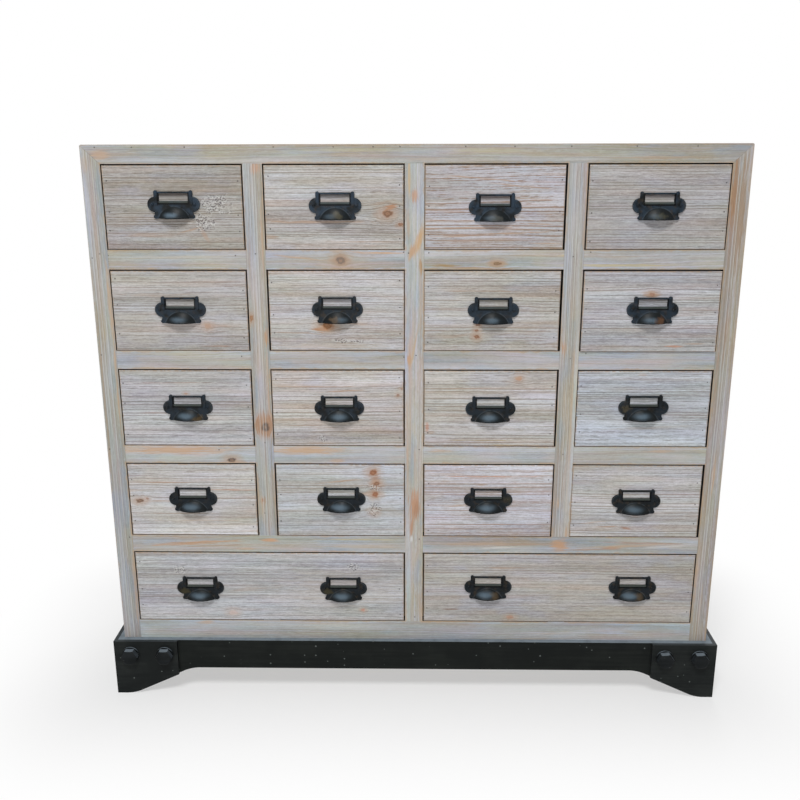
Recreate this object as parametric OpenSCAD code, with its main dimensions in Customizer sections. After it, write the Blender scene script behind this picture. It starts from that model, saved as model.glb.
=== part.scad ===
// Multi-drawer cabinet: sixteen small drawers over two wide ones, in a nailed
// pine face frame, on a black bolted base. The front faces -Y, and the origin
// is at the bottom centre of the whole cabinet, on the floor.

/* [Body] */
// Width of the wooden body
body_w = 1100; // [1000:10:1200]
// Depth of the wooden body, from the front of the face frame to the back
body_d = 380; // [330:10:430]
// Thickness of the carcass boards
board_t = 18; // [15:1:20]
// Thickness of the back panel
back_t = 6; // [4:1:9]
// Width of the rebate that the back panel lies in
rebate_w = 9; // [6:1:12]

/* [Face frame] */
// Thickness of the stiles and rails
frame_t = 20; // [16:1:24]
// Width of the two outer stiles
stile_w = 31.6; // [28:0.1:36]
// Width of the stiles between the columns
divider_w = 32.6; // [28:0.1:38]
// Height of the top rail
top_rail_h = 30.7; // [26:0.1:36]
// Height of the rails between the rows
rail_h = 32.8; // [28:0.1:38]
// Height of the bottom rail
bottom_rail_h = 37.3; // [32:0.1:44]
// Rounding of the two top corners
corner_r = 3; // [1:0.5:6]

/* [Drawers] */
// Height of each drawer opening
opening_h = 140.7; // [125:0.1:155]
// Thickness of a drawer front
front_t = 20; // [18:1:24]
// Gap over a drawer front
front_top_gap = 2.5; // [1.5:0.1:4]
// Gap under a drawer front
front_low_gap = 0.8; // [0.6:0.1:1.5]
// Gap at each side of a drawer front
front_side_gap = 2; // [1.9:0.1:3]
// Eased edge round the face of a drawer front
front_ease = 1; // [0.5:0.1:2]
// Thickness of a drawer's sides
side_t = 12; // [9:1:15]
// How far the sides stand in from the ends of the front
side_inset = 0.5; // [0.3:0.1:2]
// How much lower the sides are than the front
side_drop = 15; // [8:1:30]
// Thickness of a drawer's back
rear_t = 12; // [9:1:15]
// How much lower the back is than the sides
rear_drop = 6; // [2:1:12]
// Thickness of a drawer's bottom panel
panel_t = 5; // [3:0.5:6]
// Height of the bottom panel's groove over the lower edge of the sides
groove_up = 8; // [6:0.5:12]
// Depth of that groove
groove_d = 5; // [3:0.5:7]
// Gap between a closed drawer and the back panel
rear_gap = 1; // [0.5:0.1:4]
// How far the fourth drawer of the second row stands out, not quite closed
ajar = 4; // [0:0.5:10]

/* [Runners] */
// How far a runner reaches under the drawer, in from the edge of the opening
runner_reach = 20; // [14:1:30]
// Height of the guide along a runner
guide_h = 16; // [10:1:25]

/* [Label-holder pull] */
// Thickness of the cast plate
plate_t = 3; // [2:0.1:4]
// Extra thickness of the label frame over the plate
rim_t = 1.3; // [0.8:0.1:2]
// Extra thickness of the cross bars and of the collar round the cup
low_rim_t = 0.6; // [0.3:0.1:0.8]
// Rounding of the plate's edges
cast_r = 1.2; // [0.6:0.1:1.5]
// Width over the label frame
label_w = 64.4; // [58:0.1:70]
// Width of the window
window_w = 48; // [44:0.5:52]
// Height of the window
window_h = 12.4; // [11:0.1:15]
// Height of the window over the lip of the cup
window_up = 28.9; // [26.5:0.1:30]
// Height of the bar over the window
top_bar_h = 3; // [2.4:0.1:4]
// Height of the bar under the window
low_bar_h = 3.6; // [3:0.1:4.2]
// Width of the step between the window and the raised frame
step_w = 2.2; // [1.5:0.1:2.6]
// Depth of that step below the face of the plate
step_d = 1.4; // [0.6:0.1:1.6]
// Radius of the ears at the top corners
top_ear_r = 3; // [2.4:0.1:3.6]
// How far those ears rise over the top bar
top_ear_rise = 1.9; // [1:0.1:3]
// Radius of the round lobe at each end
lobe_r = 12.6; // [11:0.1:14]
// Distance of each lobe's centre from the middle
lobe_x = 31.2; // [28:0.1:33]
// Height of the lobes' centres over the lip
lobe_z = 23.2; // [21:0.1:26]
// Radius of the ears at the lower corners
low_ear_r = 3.2; // [2.5:0.1:4]
// Width over the lower ears
low_w = 69; // [64:0.5:72]
// Radius of the arch where the cup leaves the plate
cup_r = 27; // [25.5:0.1:28]
// Height of that arch over the lip
cup_h = 19.3; // [18:0.1:20.5]
// How far the cup stands off the drawer front
cup_reach = 12.5; // [11:0.1:15]
// Wall of the cup
cup_t = 2.6; // [2:0.1:3.2]
// Radius of the bead along the lip
bead_r = 1.8; // [1.5:0.1:2.2]
// How far the bead stands out past the cup
bead_out = 0.8; // [0.6:0.1:1]
// Width of the flat collar that the cup rises from
collar_w = 1.7; // [1:0.1:2.2]
// Height of the pull's middle over the middle of the opening
pull_rise = 1; // [-15:1:20]

/* [Pull screws] */
// Radius of the shank
screw_r = 1.6; // [1.2:0.1:2]
// Length of the shank
screw_l = 17; // [12:1:18]
// Radius of the head
screw_head_r = 2.9; // [2.6:0.1:3.1]
// Height of the domed head
screw_head_h = 2; // [1.5:0.1:2.4]
// Width of the slot in the head
slot_w = 1; // [0.8:0.1:1.4]
// Depth of the slot
slot_d = 1; // [0.6:0.1:1.2]

/* [Base] */
// Height of the base
base_h = 110; // [90:1:140]
// How far the base stands out past the front and the sides of the body
base_out = 10; // [6:1:18]
// Thickness of the skirt boards
skirt_t = 18; // [17:1:19]
// Share of the base's height that the skirt fills between the feet
skirt_part = 0.532; // [0.45:0.001:0.6]
// Width of each foot where it stands
foot_w = 20; // [12:1:50]
// Radius of the curves between a foot and the skirt
ogee_r = 76; // [60:1:100]
// Steepest slope of those curves, in degrees
ogee_slope = 25; // [24:1:32]
// Width of the glued blocks in the corners
block_w = 42; // [30:1:60]
// Height of the blocks' lower ends over the floor
block_up = 20; // [15:1:40]
// Width and height of the cleats under the body
cleat_w = 26; // [20:1:40]
// Gap between a cleat and the blocks at its ends
cleat_gap = 1; // [0.5:0.5:3]

/* [Corner plates] */
// Thickness of the steel corner plates
plate_corner_t = 7; // [4:0.5:8]
// Width of a corner plate on each face
plate_corner_w = 120; // [110:1:140]
// Width across the flats of a bolt head
bolt_af = 27; // [20:1:30]
// Height of a bolt head
bolt_head_h = 11; // [6:1:13]
// Turned chamfer round the top of a bolt head
bolt_chamfer = 1.2; // [0.5:0.1:2]
// Radius of the bolts
bolt_r = 6; // [4:0.5:8]
// Length of a bolt under its washer
bolt_l = 18; // [14:1:19]
// Radius of the washers
washer_r = 16.5; // [15:0.5:18]
// Thickness of the washers
washer_t = 2; // [1:0.5:3]
// Distance of the first bolt from the corner
bolt_near = 31; // [26:1:36]
// Distance between the two bolts
bolt_gap = 65; // [50:1:70]
// Distance of the bolts below the top of the base
bolt_down = 28; // [26:1:36]
// How far the heads on the right corner are turned, in degrees
bolt_turn = 6; // [0:1:30]

/* [Clearances] */
// Gap between a drawer and what it slides on
slide_gap = 0.3; // [0.2:0.05:0.6]
// Glue line and play between two pieces of one drawer
glue_gap = 0.1; // [0.05:0.05:0.2]
// Gap round a screw or bolt in its hole
hole_gap = 0.15; // [0.1:0.05:0.3]

/* [Hidden] */
$fn = 72;
COLS = 4;
SMALL_ROWS = 4;
WIDE_ROW = 4;
EPS = 0.01;
PAST = 5;
TUCK = 0.1;
SLOT_TURN = 20;
SLOT_STEP = 35;

// How far each drawer stands off the middle of its opening, to the right
SIT = [
    [-0.4, 0, -1.1, 0.7],
    [-0.5, 0.7, -1.6, 0],
    [-0.5, -0.5, -0.8, -0.5],
    [-0.6, 0.6, 0, -1.4],
    [-0.3, 0, 0.3, 0],
];

// How far the pulls of each drawer stand off their places, right and up
PULL_OFF = [
    [[1, 3.9], [1.7, 1.7], [0.6, -1.2], [1.3, 0.9]],
    [[0.5, 0.8], [1.3, 1.2], [2.5, 0], [2.6, 1.5]],
    [[2, 0.1], [2.3, -0.7], [1.1, -1.4], [0.7, 1.5]],
    [[0.5, 0.7], [1.5, 1.2], [0.3, 0.9], [0.5, -0.7]],
    [[2.8, -3.7], [0, 0], [3.7, 1.2], [0, 0]],
];

opening_w = (body_w - 2 * stile_w - (COLS - 1) * divider_w) / COLS;
pitch_x = opening_w + divider_w;
pitch_z = opening_h + rail_h;
body_h = top_rail_h + (SMALL_ROWS + 1) * opening_h + SMALL_ROWS * rail_h
    + bottom_rail_h;
total_h = base_h + body_h;

pull_h = window_up + window_h + top_bar_h + top_ear_rise;
bolt_reach = base_out + plate_corner_t + washer_t + glue_gap + bolt_head_h;
pull_reach = cup_reach + bead_out;
front_reach = max(bolt_reach, pull_reach + ajar);
total_d = body_d + front_reach;
face_y = front_reach - total_d / 2;
board_y = face_y + frame_t;
back_y = total_d / 2;
inner_back_y = back_y - back_t;
side_in_x = body_w / 2 - board_t;

front_h = opening_h - front_top_gap - front_low_gap;
box_h = front_h + front_low_gap - slide_gap - side_drop;
box_end_y = inner_back_y - rear_gap;
pilot_d = screw_l - plate_t + 2 * hole_gap;
cup_drop = cup_r - cup_h;
cup_axis = (cup_r * cup_r - cup_drop * cup_drop + plate_t * plate_t
    - cup_reach * cup_reach) / (2 * (cup_reach - plate_t));
cup_ball = norm([cup_r, cup_axis + plate_t]);
lip_r = cup_axis + cup_reach;
label_top = window_up + window_h + top_bar_h;
bar_w = (label_w - window_w) / 2 - step_w;
screw_x = label_w / 2 + screw_head_r + 2 * hole_gap;

skirt_x = body_w / 2 + base_out;
skirt_y = face_y - base_out;
arch_h = base_h * (1 - skirt_part);
corner_x = skirt_x + plate_corner_t;
corner_y = skirt_y - plate_corner_t;
bolt_z = base_h - bolt_down;
hex_r = bolt_af / sqrt(3);

wash = [0.74, 0.71, 0.66];
frame_wash = [0.69, 0.69, 0.65];
raw_pine = [0.80, 0.68, 0.50];
plywood = [0.72, 0.58, 0.40];
black_paint = [0.12, 0.14, 0.14];
cast_iron = [0.16, 0.18, 0.20];

// Where each opening stands. Rows count from the top and columns from the left.
function open_x(col) = -body_w / 2 + stile_w + col * pitch_x;
function open_z(row) = total_h - top_rail_h - opening_h - row * pitch_z;
function open_w(row) = row == WIDE_ROW ? opening_w + pitch_x : opening_w;
function divider_x(col) = open_x(col) - divider_w / 2;
function stand_out(row, col) = row == 1 && col == 3 ? ajar : 0;
function front_x(row, col) = open_x(col) + front_side_gap + SIT[row][col];
function front_w(row) = open_w(row) - 2 * front_side_gap;
function front_z(row) = open_z(row) + front_low_gap;

// Faces of the upright boards at the left and right of a cell
function wall_left(col) = col == 0 ? -side_in_x : divider_x(col) + board_t / 2;
function wall_right(end_col) =
    end_col == COLS ? side_in_x : divider_x(end_col) - board_t / 2;

// Middles of the pulls on a drawer, measured from the left end of its front,
// and the height of their lips over the opening
function pull_x(row, col) = opening_w / 2 - front_side_gap + PULL_OFF[row][col].x;
function pull_places(row, col) =
    row == WIDE_ROW
        ? [pull_x(row, col), pull_x(row, col) + pitch_x]
        : [pull_x(row, col)];
function pull_z(row, col) =
    (opening_h - pull_h) / 2 + pull_rise + PULL_OFF[row][col].y;

// Carcass

// A board lying flat, with the rebate for the back panel along one long edge
module flat_board(z, rebate_z) {
    difference() {
        translate([-body_w / 2, board_y, z])
            cube([body_w, back_y - board_y, board_t]);
        translate([-body_w / 2 + board_t - rebate_w, inner_back_y, rebate_z])
            cube([body_w - 2 * (board_t - rebate_w), back_t + PAST, rebate_w]);
    }
}

module top_board() {
    z = total_h - board_t;
    color(wash) flat_board(z, z);
}

module bottom_board() {
    color(raw_pine) flat_board(base_h, base_h + board_t - rebate_w);
}

module side_board() {
    z = base_h + board_t;
    h = body_h - 2 * board_t;
    difference() {
        translate([side_in_x, board_y, z])
            cube([board_t, back_y - board_y, h]);
        translate([side_in_x, inner_back_y, z - PAST])
            cube([rebate_w, back_t + PAST, h + 2 * PAST]);
    }
}

module right_side() { color(wash) side_board(); }

module left_side() { color(wash) mirror([1, 0, 0]) side_board(); }

module back_panel() {
    inset = board_t - rebate_w;
    color(plywood)
        translate([-body_w / 2 + inset, inner_back_y, base_h + inset])
            cube([body_w - 2 * inset, back_t, body_h - 2 * inset]);
}

// An upright board inside the carcass, centred on x
module upright(x, z) {
    translate([x - board_t / 2, board_y, z])
        cube([board_t, inner_back_y - board_y, total_h - board_t - z]);
}

module centre_partition() {
    color(raw_pine) upright(0, base_h + board_t);
}

module quarter_partitions() {
    color(raw_pine) {
        upright(divider_x(1), open_z(SMALL_ROWS - 1));
        upright(divider_x(3), open_z(SMALL_ROWS - 1));
    }
}

// The shelves between the small rows and the wide one, left and right
module lower_shelves() {
    color(raw_pine)
        for (col = [0, 2]) {
            x = wall_left(col);
            translate([x, board_y, open_z(SMALL_ROWS - 1) - board_t])
                cube([wall_right(col + 2) - x, inner_back_y - board_y, board_t]);
        }
}

// Runners

// A strip along the inside of a cell, from the face frame to the back panel
module strip(x0, x1, z, h) {
    translate([x0, board_y, z])
        cube([x1 - x0, inner_back_y - board_y, h]);
}

// The two rebated runners of a cell: a ledge that the drawer slides on, and a
// guide that keeps it straight
module runner_pair(row, col, end_col, h) {
    x0 = open_x(col);
    x1 = x0 + open_w(row);
    z = open_z(row);
    strip(wall_left(col), x0 + runner_reach, z - h, h);
    strip(wall_left(col), x0, z - EPS, guide_h);
    strip(x1 - runner_reach, wall_right(end_col), z - h, h);
    strip(x1, wall_right(end_col), z - EPS, guide_h);
}

module drawer_runners() {
    color(raw_pine) {
        for (row = [0 : SMALL_ROWS - 2])
            for (col = [0 : COLS - 1])
                runner_pair(row, col, col + 1, rail_h);
        for (col = [0, 2])
            runner_pair(WIDE_ROW, col, col + 2, bottom_rail_h - board_t);
    }
}

// Strips that need no ledge: guides on the shelves, and the kickers that stop
// a drawer from tipping where a board, not a runner, is over it
module drawer_guides() {
    shelf_z = open_z(SMALL_ROWS - 1);
    color(raw_pine) {
        for (col = [0 : COLS - 1]) {
            x0 = open_x(col);
            x1 = x0 + opening_w;
            strip(wall_left(col), x0, shelf_z, guide_h);
            strip(x1, wall_right(col + 1), shelf_z, guide_h);
            strip(wall_left(col), x0 + runner_reach,
                total_h - top_rail_h, top_rail_h - board_t);
            strip(x1 - runner_reach, wall_right(col + 1),
                total_h - top_rail_h, top_rail_h - board_t);
        }
        for (col = [0, 2]) {
            x0 = open_x(col);
            x1 = x0 + open_w(WIDE_ROW);
            strip(wall_left(col), x0 + runner_reach,
                shelf_z - rail_h, rail_h - board_t);
            strip(x1 - runner_reach, wall_right(col + 2),
                shelf_z - rail_h, rail_h - board_t);
        }
    }
}

// Face frame

// Turns an outline drawn in X and Z into a piece of the face frame
module frame_piece() {
    translate([0, face_y + frame_t, 0])
        rotate([90, 0, 0])
            linear_extrude(frame_t)
                intersection() {
                    children();
                    frame_outline();
                }
}

// The face frame's outside, with its two top corners rounded
module frame_outline() {
    translate([-body_w / 2, base_h])
        square([body_w, body_h - corner_r]);
    translate([-body_w / 2 + corner_r, base_h])
        square([body_w - 2 * corner_r, body_h]);
    for (side = [-1, 1])
        translate([side * (body_w / 2 - corner_r), total_h - corner_r])
            circle(corner_r);
}

module top_rail() {
    color(frame_wash)
        frame_piece()
            polygon([
                [-body_w / 2, total_h],
                [body_w / 2, total_h],
                [body_w / 2 - stile_w, total_h - top_rail_h],
                [-body_w / 2 + stile_w, total_h - top_rail_h],
            ]);
}

module outer_stile() {
    frame_piece()
        polygon([
            [body_w / 2, base_h],
            [body_w / 2, total_h],
            [body_w / 2 - stile_w, total_h - top_rail_h],
            [body_w / 2 - stile_w, base_h],
        ]);
}

module right_stile() { color(frame_wash) outer_stile(); }

module left_stile() { color(frame_wash) mirror([1, 0, 0]) outer_stile(); }

module bottom_rail() {
    color(frame_wash)
        frame_piece()
            translate([-body_w / 2 + stile_w, base_h])
                square([body_w - 2 * stile_w, bottom_rail_h]);
}

// A stile between two columns, from z up to the top rail
module inner_stile(x, z) {
    frame_piece()
        translate([x - divider_w / 2, z])
            square([divider_w, total_h - top_rail_h - z]);
}

module centre_stile() {
    color(frame_wash) inner_stile(0, base_h + bottom_rail_h);
}

module divider_stiles() {
    color(frame_wash) {
        inner_stile(divider_x(1), open_z(SMALL_ROWS - 1));
        inner_stile(divider_x(3), open_z(SMALL_ROWS - 1));
    }
}

module short_rails() {
    color(frame_wash)
        for (row = [0 : SMALL_ROWS - 2])
            for (col = [0 : COLS - 1])
                frame_piece()
                    translate([open_x(col), open_z(row) - rail_h])
                        square([opening_w, rail_h]);
}

module long_rails() {
    color(frame_wash)
        for (col = [0, 2])
            frame_piece()
                translate([open_x(col), open_z(SMALL_ROWS - 1) - rail_h])
                    square([open_w(WIDE_ROW), rail_h]);
}

// Drawers

// The section of a front board of height or width w, its two front edges eased,
// made into a bar that runs past both ends of a board of length l
module eased_bar(w, l) {
    translate([0, 0, -PAST])
        linear_extrude(l + 2 * PAST)
            polygon([
                [front_ease, 0],
                [w - front_ease, 0],
                [w, front_ease],
                [w, front_t],
                [0, front_t],
                [0, front_ease],
            ]);
}

// The front board, with eased edges, the groove for the bottom panel and the
// holes for the pull's screws
module drawer_front(w, groove_z, screw_z, places) {
    groove_x = side_inset + side_t - groove_d;
    difference() {
        intersection() {
            eased_bar(w, front_h);
            translate([w, 0, 0])
                rotate([0, -90, 0]) eased_bar(front_h, w);
        }
        translate([groove_x, front_t - groove_d, groove_z])
            cube([w - 2 * groove_x, groove_d + PAST, panel_t + 2 * glue_gap]);
        for (x = places)
            for (side = [-1, 1])
                translate([x + side * screw_x, pilot_d, screw_z])
                    rotate([90, 0, 0])
                        cylinder(h = pilot_d + PAST, r = screw_r + hole_gap);
    }
}

// One side, standing with its outer face on x = 0 and its groove inside
module drawer_side(l) {
    difference() {
        cube([side_t, l, box_h]);
        translate([side_t - groove_d, -PAST, groove_up])
            cube([groove_d + PAST, l + 2 * PAST, panel_t + 2 * glue_gap]);
    }
}

// A whole drawer: front, two sides, back and bottom panel
module drawer(row, col) {
    w = front_w(row);
    lift = slide_gap - front_low_gap;
    box_y = front_t + glue_gap;
    box_l = box_end_y - face_y - box_y;
    inner_w = w - 2 * (side_inset + side_t);
    panel_z = lift + groove_up + glue_gap;
    rear_z = panel_z + panel_t + glue_gap;
    screw_z = pull_z(row, col) - front_low_gap + lobe_z;
    color(wash)
        translate([front_x(row, col), face_y - stand_out(row, col), front_z(row)]) {
            drawer_front(w, panel_z - glue_gap, screw_z, pull_places(row, col));
            translate([side_inset, box_y, lift])
                drawer_side(box_l);
            translate([w - side_inset, box_y, lift])
                mirror([1, 0, 0]) drawer_side(box_l);
            translate([side_inset + side_t + glue_gap, box_y + box_l - rear_t, rear_z])
                cube([inner_w - 2 * glue_gap, rear_t,
                    lift + box_h - rear_drop - rear_z]);
            translate([side_inset + side_t - groove_d + glue_gap,
                front_t - groove_d + glue_gap, panel_z])
                cube([inner_w + 2 * (groove_d - glue_gap),
                    groove_d + box_l, panel_t]);
        }
}

// Label-holder cup pulls

// A round boss with a rounded rim, lying on the drawer front at x and z
module boss(x, z, r, t) {
    translate([x, 0, z])
        rotate([90, 0, 0])
            rotate_extrude() {
                square([r - cast_r, t]);
                square([r, t - cast_r]);
                translate([r - cast_r, t - cast_r])
                    circle(cast_r);
            }
}

// The section of a cast bar, with its two front edges rounded
module bar_section(w, t) {
    square([w, t - cast_r]);
    translate([cast_r, 0])
        square([w - 2 * cast_r, t]);
    for (x = [cast_r, w - cast_r])
        translate([x, t - cast_r])
            circle(cast_r);
}

// A bar standing up the drawer front, from z0 to z1, with its left edge at x
module upright_bar(x, w, t, z0, z1) {
    translate([x, 0, z0])
        linear_extrude(z1 - z0)
            mirror([0, 1]) bar_section(w, t);
}

// A bar lying across the drawer front, from x0 to x1, with its low edge at z
module cross_bar(z, h, t, x0, x1) {
    translate([x0, 0, z + h])
        rotate([0, 90, 0])
            linear_extrude(x1 - x0)
                mirror([0, 1]) bar_section(h, t);
}

// The part over the lip of a ball whose middle lies behind the drawer front
module dome(r) {
    intersection() {
        translate([0, cup_axis, -cup_drop])
            sphere(r);
        translate([-r, cup_axis - r, 0])
            cube([2 * r, 2 * r, r]);
    }
}

// The space in front of the drawer front, out to y = -t
module slab(t) {
    translate([-lobe_x - 2 * lobe_r, -t, -PAST])
        cube([2 * (lobe_x + 2 * lobe_r), t, pull_h + 2 * PAST]);
}

// The plate behind the cup: lobes, lower ears and the web between them
module pull_plate() {
    for (side = [-1, 1]) {
        boss(side * lobe_x, lobe_z, lobe_r, plate_t);
        boss(side * (low_w / 2 - low_ear_r), low_ear_r, low_ear_r, plate_t);
    }
    rotate([90, 0, 0])
        linear_extrude(plate_t)
            polygon([
                [-low_w / 2 + low_ear_r, 0],
                [low_w / 2 - low_ear_r, 0],
                [low_w / 2 - low_ear_r / 2, low_ear_r],
                [label_w / 2 - cast_r, lobe_z - lobe_r / 2],
                [label_w / 2 - cast_r, window_up],
                [-label_w / 2 + cast_r, window_up],
                [-label_w / 2 + cast_r, lobe_z - lobe_r / 2],
                [-low_w / 2 + low_ear_r / 2, low_ear_r],
            ]);
    upright_bar(-label_w / 2, label_w / 2 - window_w / 2, plate_t,
        lobe_z, label_top);
    upright_bar(window_w / 2, label_w / 2 - window_w / 2, plate_t,
        lobe_z, label_top);
}

// The frame that a card slides behind: raised bars, thin top bar and ears
module label_frame() {
    bar_low = window_up - low_bar_h - step_w;
    for (x = [-label_w / 2, label_w / 2 - bar_w])
        upright_bar(x, bar_w, plate_t + rim_t, bar_low, label_top);
    for (side = [-1, 1])
        boss(side * (label_w / 2 - top_ear_r), label_top + top_ear_rise - top_ear_r,
            top_ear_r, plate_t + rim_t);
    cross_bar(label_top - top_bar_h, top_bar_h, plate_t + low_rim_t,
        -label_w / 2 + bar_w / 2, label_w / 2 - bar_w / 2);
    cross_bar(window_up - low_bar_h, low_bar_h, plate_t + low_rim_t,
        -window_w / 2 - step_w, window_w / 2 + step_w);
}

// The step cut in the plate beside and under the window
module window_step() {
    low = window_up - low_bar_h - step_w;
    wide = window_w + 2 * step_w;
    translate([-wide / 2, -plate_t - PAST, low])
        cube([wide, step_d + PAST, step_w]);
    for (x = [-wide / 2, window_w / 2])
        translate([x, -plate_t - PAST, low])
            cube([step_w, step_d + PAST, label_top - top_bar_h - low]);
}

// The inside of the cup, open below and through the plate behind it
module hollow() {
    translate([0, cup_axis, -cup_drop])
        sphere(cup_ball - cup_t);
}

// The hollow cup with its beaded lip
module cup() {
    intersection() {
        difference() {
            union() {
                dome(cup_ball);
                translate([0, cup_axis, 0])
                    rotate_extrude()
                        translate([lip_r + bead_out - bead_r, bead_r])
                            circle(bead_r);
            }
            hollow();
        }
        slab(cup_reach + PAST);
    }
}

module pull_casting() {
    difference() {
        union() {
            difference() {
                pull_plate();
                window_step();
            }
            label_frame();
            intersection() {
                dome(cup_ball + collar_w);
                slab(plate_t + low_rim_t);
            }
        }
        hollow();
        translate([-window_w / 2, -plate_t - PAST, window_up])
            cube([window_w, plate_t + 2 * PAST, window_h]);
        for (side = [-1, 1])
            translate([side * screw_x, PAST, lobe_z])
                rotate([90, 0, 0])
                    cylinder(h = plate_t + 2 * PAST, r = screw_r + hole_gap);
    }
    cup();
}

// A slotted round-head wood screw, its head on the plate
module pull_screw(x, turn) {
    ball_r = (screw_head_r * screw_head_r + screw_head_h * screw_head_h)
        / (2 * screw_head_h);
    translate([x, -plate_t - glue_gap, lobe_z])
        rotate([90, turn, 0]) {
            difference() {
                intersection() {
                    translate([0, 0, screw_head_h - ball_r])
                        sphere(ball_r);
                    cylinder(h = screw_head_h, r = screw_head_r);
                }
                translate([-screw_head_r, -slot_w / 2, screw_head_h - slot_d])
                    cube([2 * screw_head_r, slot_w, slot_d + PAST]);
            }
            translate([0, 0, -screw_l + glue_gap])
                cylinder(h = screw_l, r = screw_r);
        }
}

// The pulls of one drawer, each with its two screws. The slots of the screws
// stand as they were left, at many angles.
module pulls(row, col) {
    z = open_z(row) + pull_z(row, col);
    color(cast_iron)
        for (x = pull_places(row, col))
            translate([front_x(row, col) + x, face_y - stand_out(row, col), z]) {
                pull_casting();
                pull_screw(-screw_x, SLOT_TURN + SLOT_STEP * row);
                pull_screw(screw_x, SLOT_TURN - SLOT_STEP * (row + 2 * col));
            }
}

// Base

// The hollow under a skirt of the given length, open at the floor, with an
// ogee curve up from the foot at each end. It is drawn centred on x = 0, and
// half is the distance from there to the inner edge of a foot. The middles of
// the two curves on the right are at low and high. Each curve is tucked a hair
// past the lines on both sides of it, so that they cross at a small angle.
module arch_outline(half) {
    lean = [sin(ogee_slope), cos(ogee_slope)];
    inside = ogee_r - TUCK;
    straight = (arch_h + 2 * TUCK - 2 * ogee_r * (1 - lean.y)) / lean.x;
    low = [half + sqrt(ogee_r * ogee_r - inside * inside), inside];
    high = [low.x - 2 * ogee_r * lean.x - straight * lean.y, arch_h - inside];
    edge = [
        [low.x, -PAST],
        [low.x, PAST],
        low - inside * lean,
        high + inside * lean,
        [high.x, arch_h - PAST],
        [high.x, arch_h + PAST],
    ];
    last = len(edge) - 1;
    intersection() {
        translate([-low.x - PAST, -2 * PAST])
            square([2 * (low.x + PAST), arch_h + 2 * PAST]);
        difference() {
            union() {
                polygon(concat(edge,
                    [for (i = [0 : last]) [-edge[last - i].x, edge[last - i].y]]));
                for (side = [-1, 1])
                    translate([side * high.x, high.y])
                        circle(ogee_r);
            }
            for (side = [-1, 1])
                translate([side * low.x, low.y])
                    circle(ogee_r);
        }
    }
}

// The side of the base as an outline in Y and Z, from y0 to y1. The arch is
// centred on the whole side, so all four corners have like feet.
module side_outline(y0, y1) {
    half = (back_y - corner_y) / 2;
    difference() {
        translate([y0, 0])
            square([y1 - y0, base_h]);
        translate([corner_y + half, 0])
            arch_outline(half - foot_w);
    }
}

// The front of the base as an outline in X and Z, from x0 to x1
module front_outline(x0, x1) {
    difference() {
        translate([x0, 0])
            square([x1 - x0, base_h]);
        arch_outline(corner_x - foot_w);
    }
}

// An outline in X and Z made t thick, its back on the plane y
module across(y, t) {
    translate([0, y, 0])
        rotate([90, 0, 0])
            linear_extrude(t) children();
}

// An outline in Y and Z made t thick, its left face on the plane x
module along(x, t) {
    translate([x, 0, 0])
        rotate([90, 0, 90])
            linear_extrude(t) children();
}

// Puts a piece drawn along +Z, its foot on z = 0, at each bolt of the right
// corner
module at_bolts() {
    for (d = [bolt_near, bolt_near + bolt_gap])
        translate([corner_x - d, corner_y, bolt_z])
            rotate([90, 0, 0]) children();
}

module both_sides() {
    children();
    mirror([1, 0, 0]) children();
}

module bolt_holes() {
    both_sides()
        at_bolts()
            translate([0, 0, -bolt_l - 2 * hole_gap])
                cylinder(h = bolt_l + PAST, r = bolt_r + hole_gap);
}

module base_front_skirt() {
    color(black_paint)
        difference() {
            across(skirt_y + skirt_t, skirt_t)
                front_outline(-skirt_x, skirt_x);
            bolt_holes();
        }
}

module base_side_skirts() {
    color(black_paint)
        both_sides()
            along(skirt_x - skirt_t, skirt_t)
                side_outline(skirt_y + skirt_t, back_y);
}

module base_back_skirt() {
    color(black_paint)
        across(back_y, skirt_t)
            front_outline(skirt_t - skirt_x, skirt_x - skirt_t);
}

// Glued corner blocks, and the cleats between them under the body
module base_blocks() {
    x = skirt_x - skirt_t;
    y0 = skirt_y + skirt_t;
    y1 = back_y - skirt_t;
    color(raw_pine) {
        both_sides() {
            for (y = [y0, y1 - block_w])
                translate([x - block_w, y, block_up])
                    cube([block_w, block_w, base_h - block_up]);
            translate([x - cleat_w, y0 + block_w + cleat_gap, base_h - cleat_w])
                cube([cleat_w, y1 - y0 - 2 * (block_w + cleat_gap), cleat_w]);
        }
        for (y = [y0, y1 - cleat_w])
            translate([-x + block_w + cleat_gap, y, base_h - cleat_w])
                cube([2 * (x - block_w - cleat_gap), cleat_w, cleat_w]);
    }
}

// Steel angle plates round the two front corners, cut to the feet
module corner_plates() {
    color(black_paint)
        both_sides()
            difference() {
                union() {
                    across(skirt_y, plate_corner_t)
                        front_outline(corner_x - plate_corner_w, corner_x);
                    along(skirt_x, plate_corner_t)
                        side_outline(corner_y, corner_y + plate_corner_w);
                }
                bolt_holes();
            }
}

// A hexagonal head with a turned chamfer, on a round shank
module bolt(turn) {
    translate([0, 0, washer_t + glue_gap])
        intersection() {
            rotate(turn)
                cylinder(h = bolt_head_h, r = hex_r, $fn = 6);
            rotate_extrude()
                polygon([
                    [0, 0],
                    [hex_r + EPS, 0],
                    [hex_r + EPS, bolt_head_h - bolt_chamfer],
                    [bolt_af / 2 - bolt_chamfer, bolt_head_h],
                    [0, bolt_head_h],
                ]);
        }
    translate([0, 0, -bolt_l])
        cylinder(h = bolt_l + washer_t + 2 * glue_gap, r = bolt_r);
}

module washer() {
    difference() {
        cylinder(h = washer_t, r = washer_r);
        translate([0, 0, -PAST])
            cylinder(h = washer_t + 2 * PAST, r = bolt_r + hole_gap);
    }
}

// The heads stop at another angle on the right corner than on the left one
module corner_bolts() {
    color(black_paint) {
        both_sides() at_bolts() washer();
        at_bolts() bolt(bolt_turn);
        mirror([1, 0, 0]) at_bolts() bolt(0);
    }
}

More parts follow.
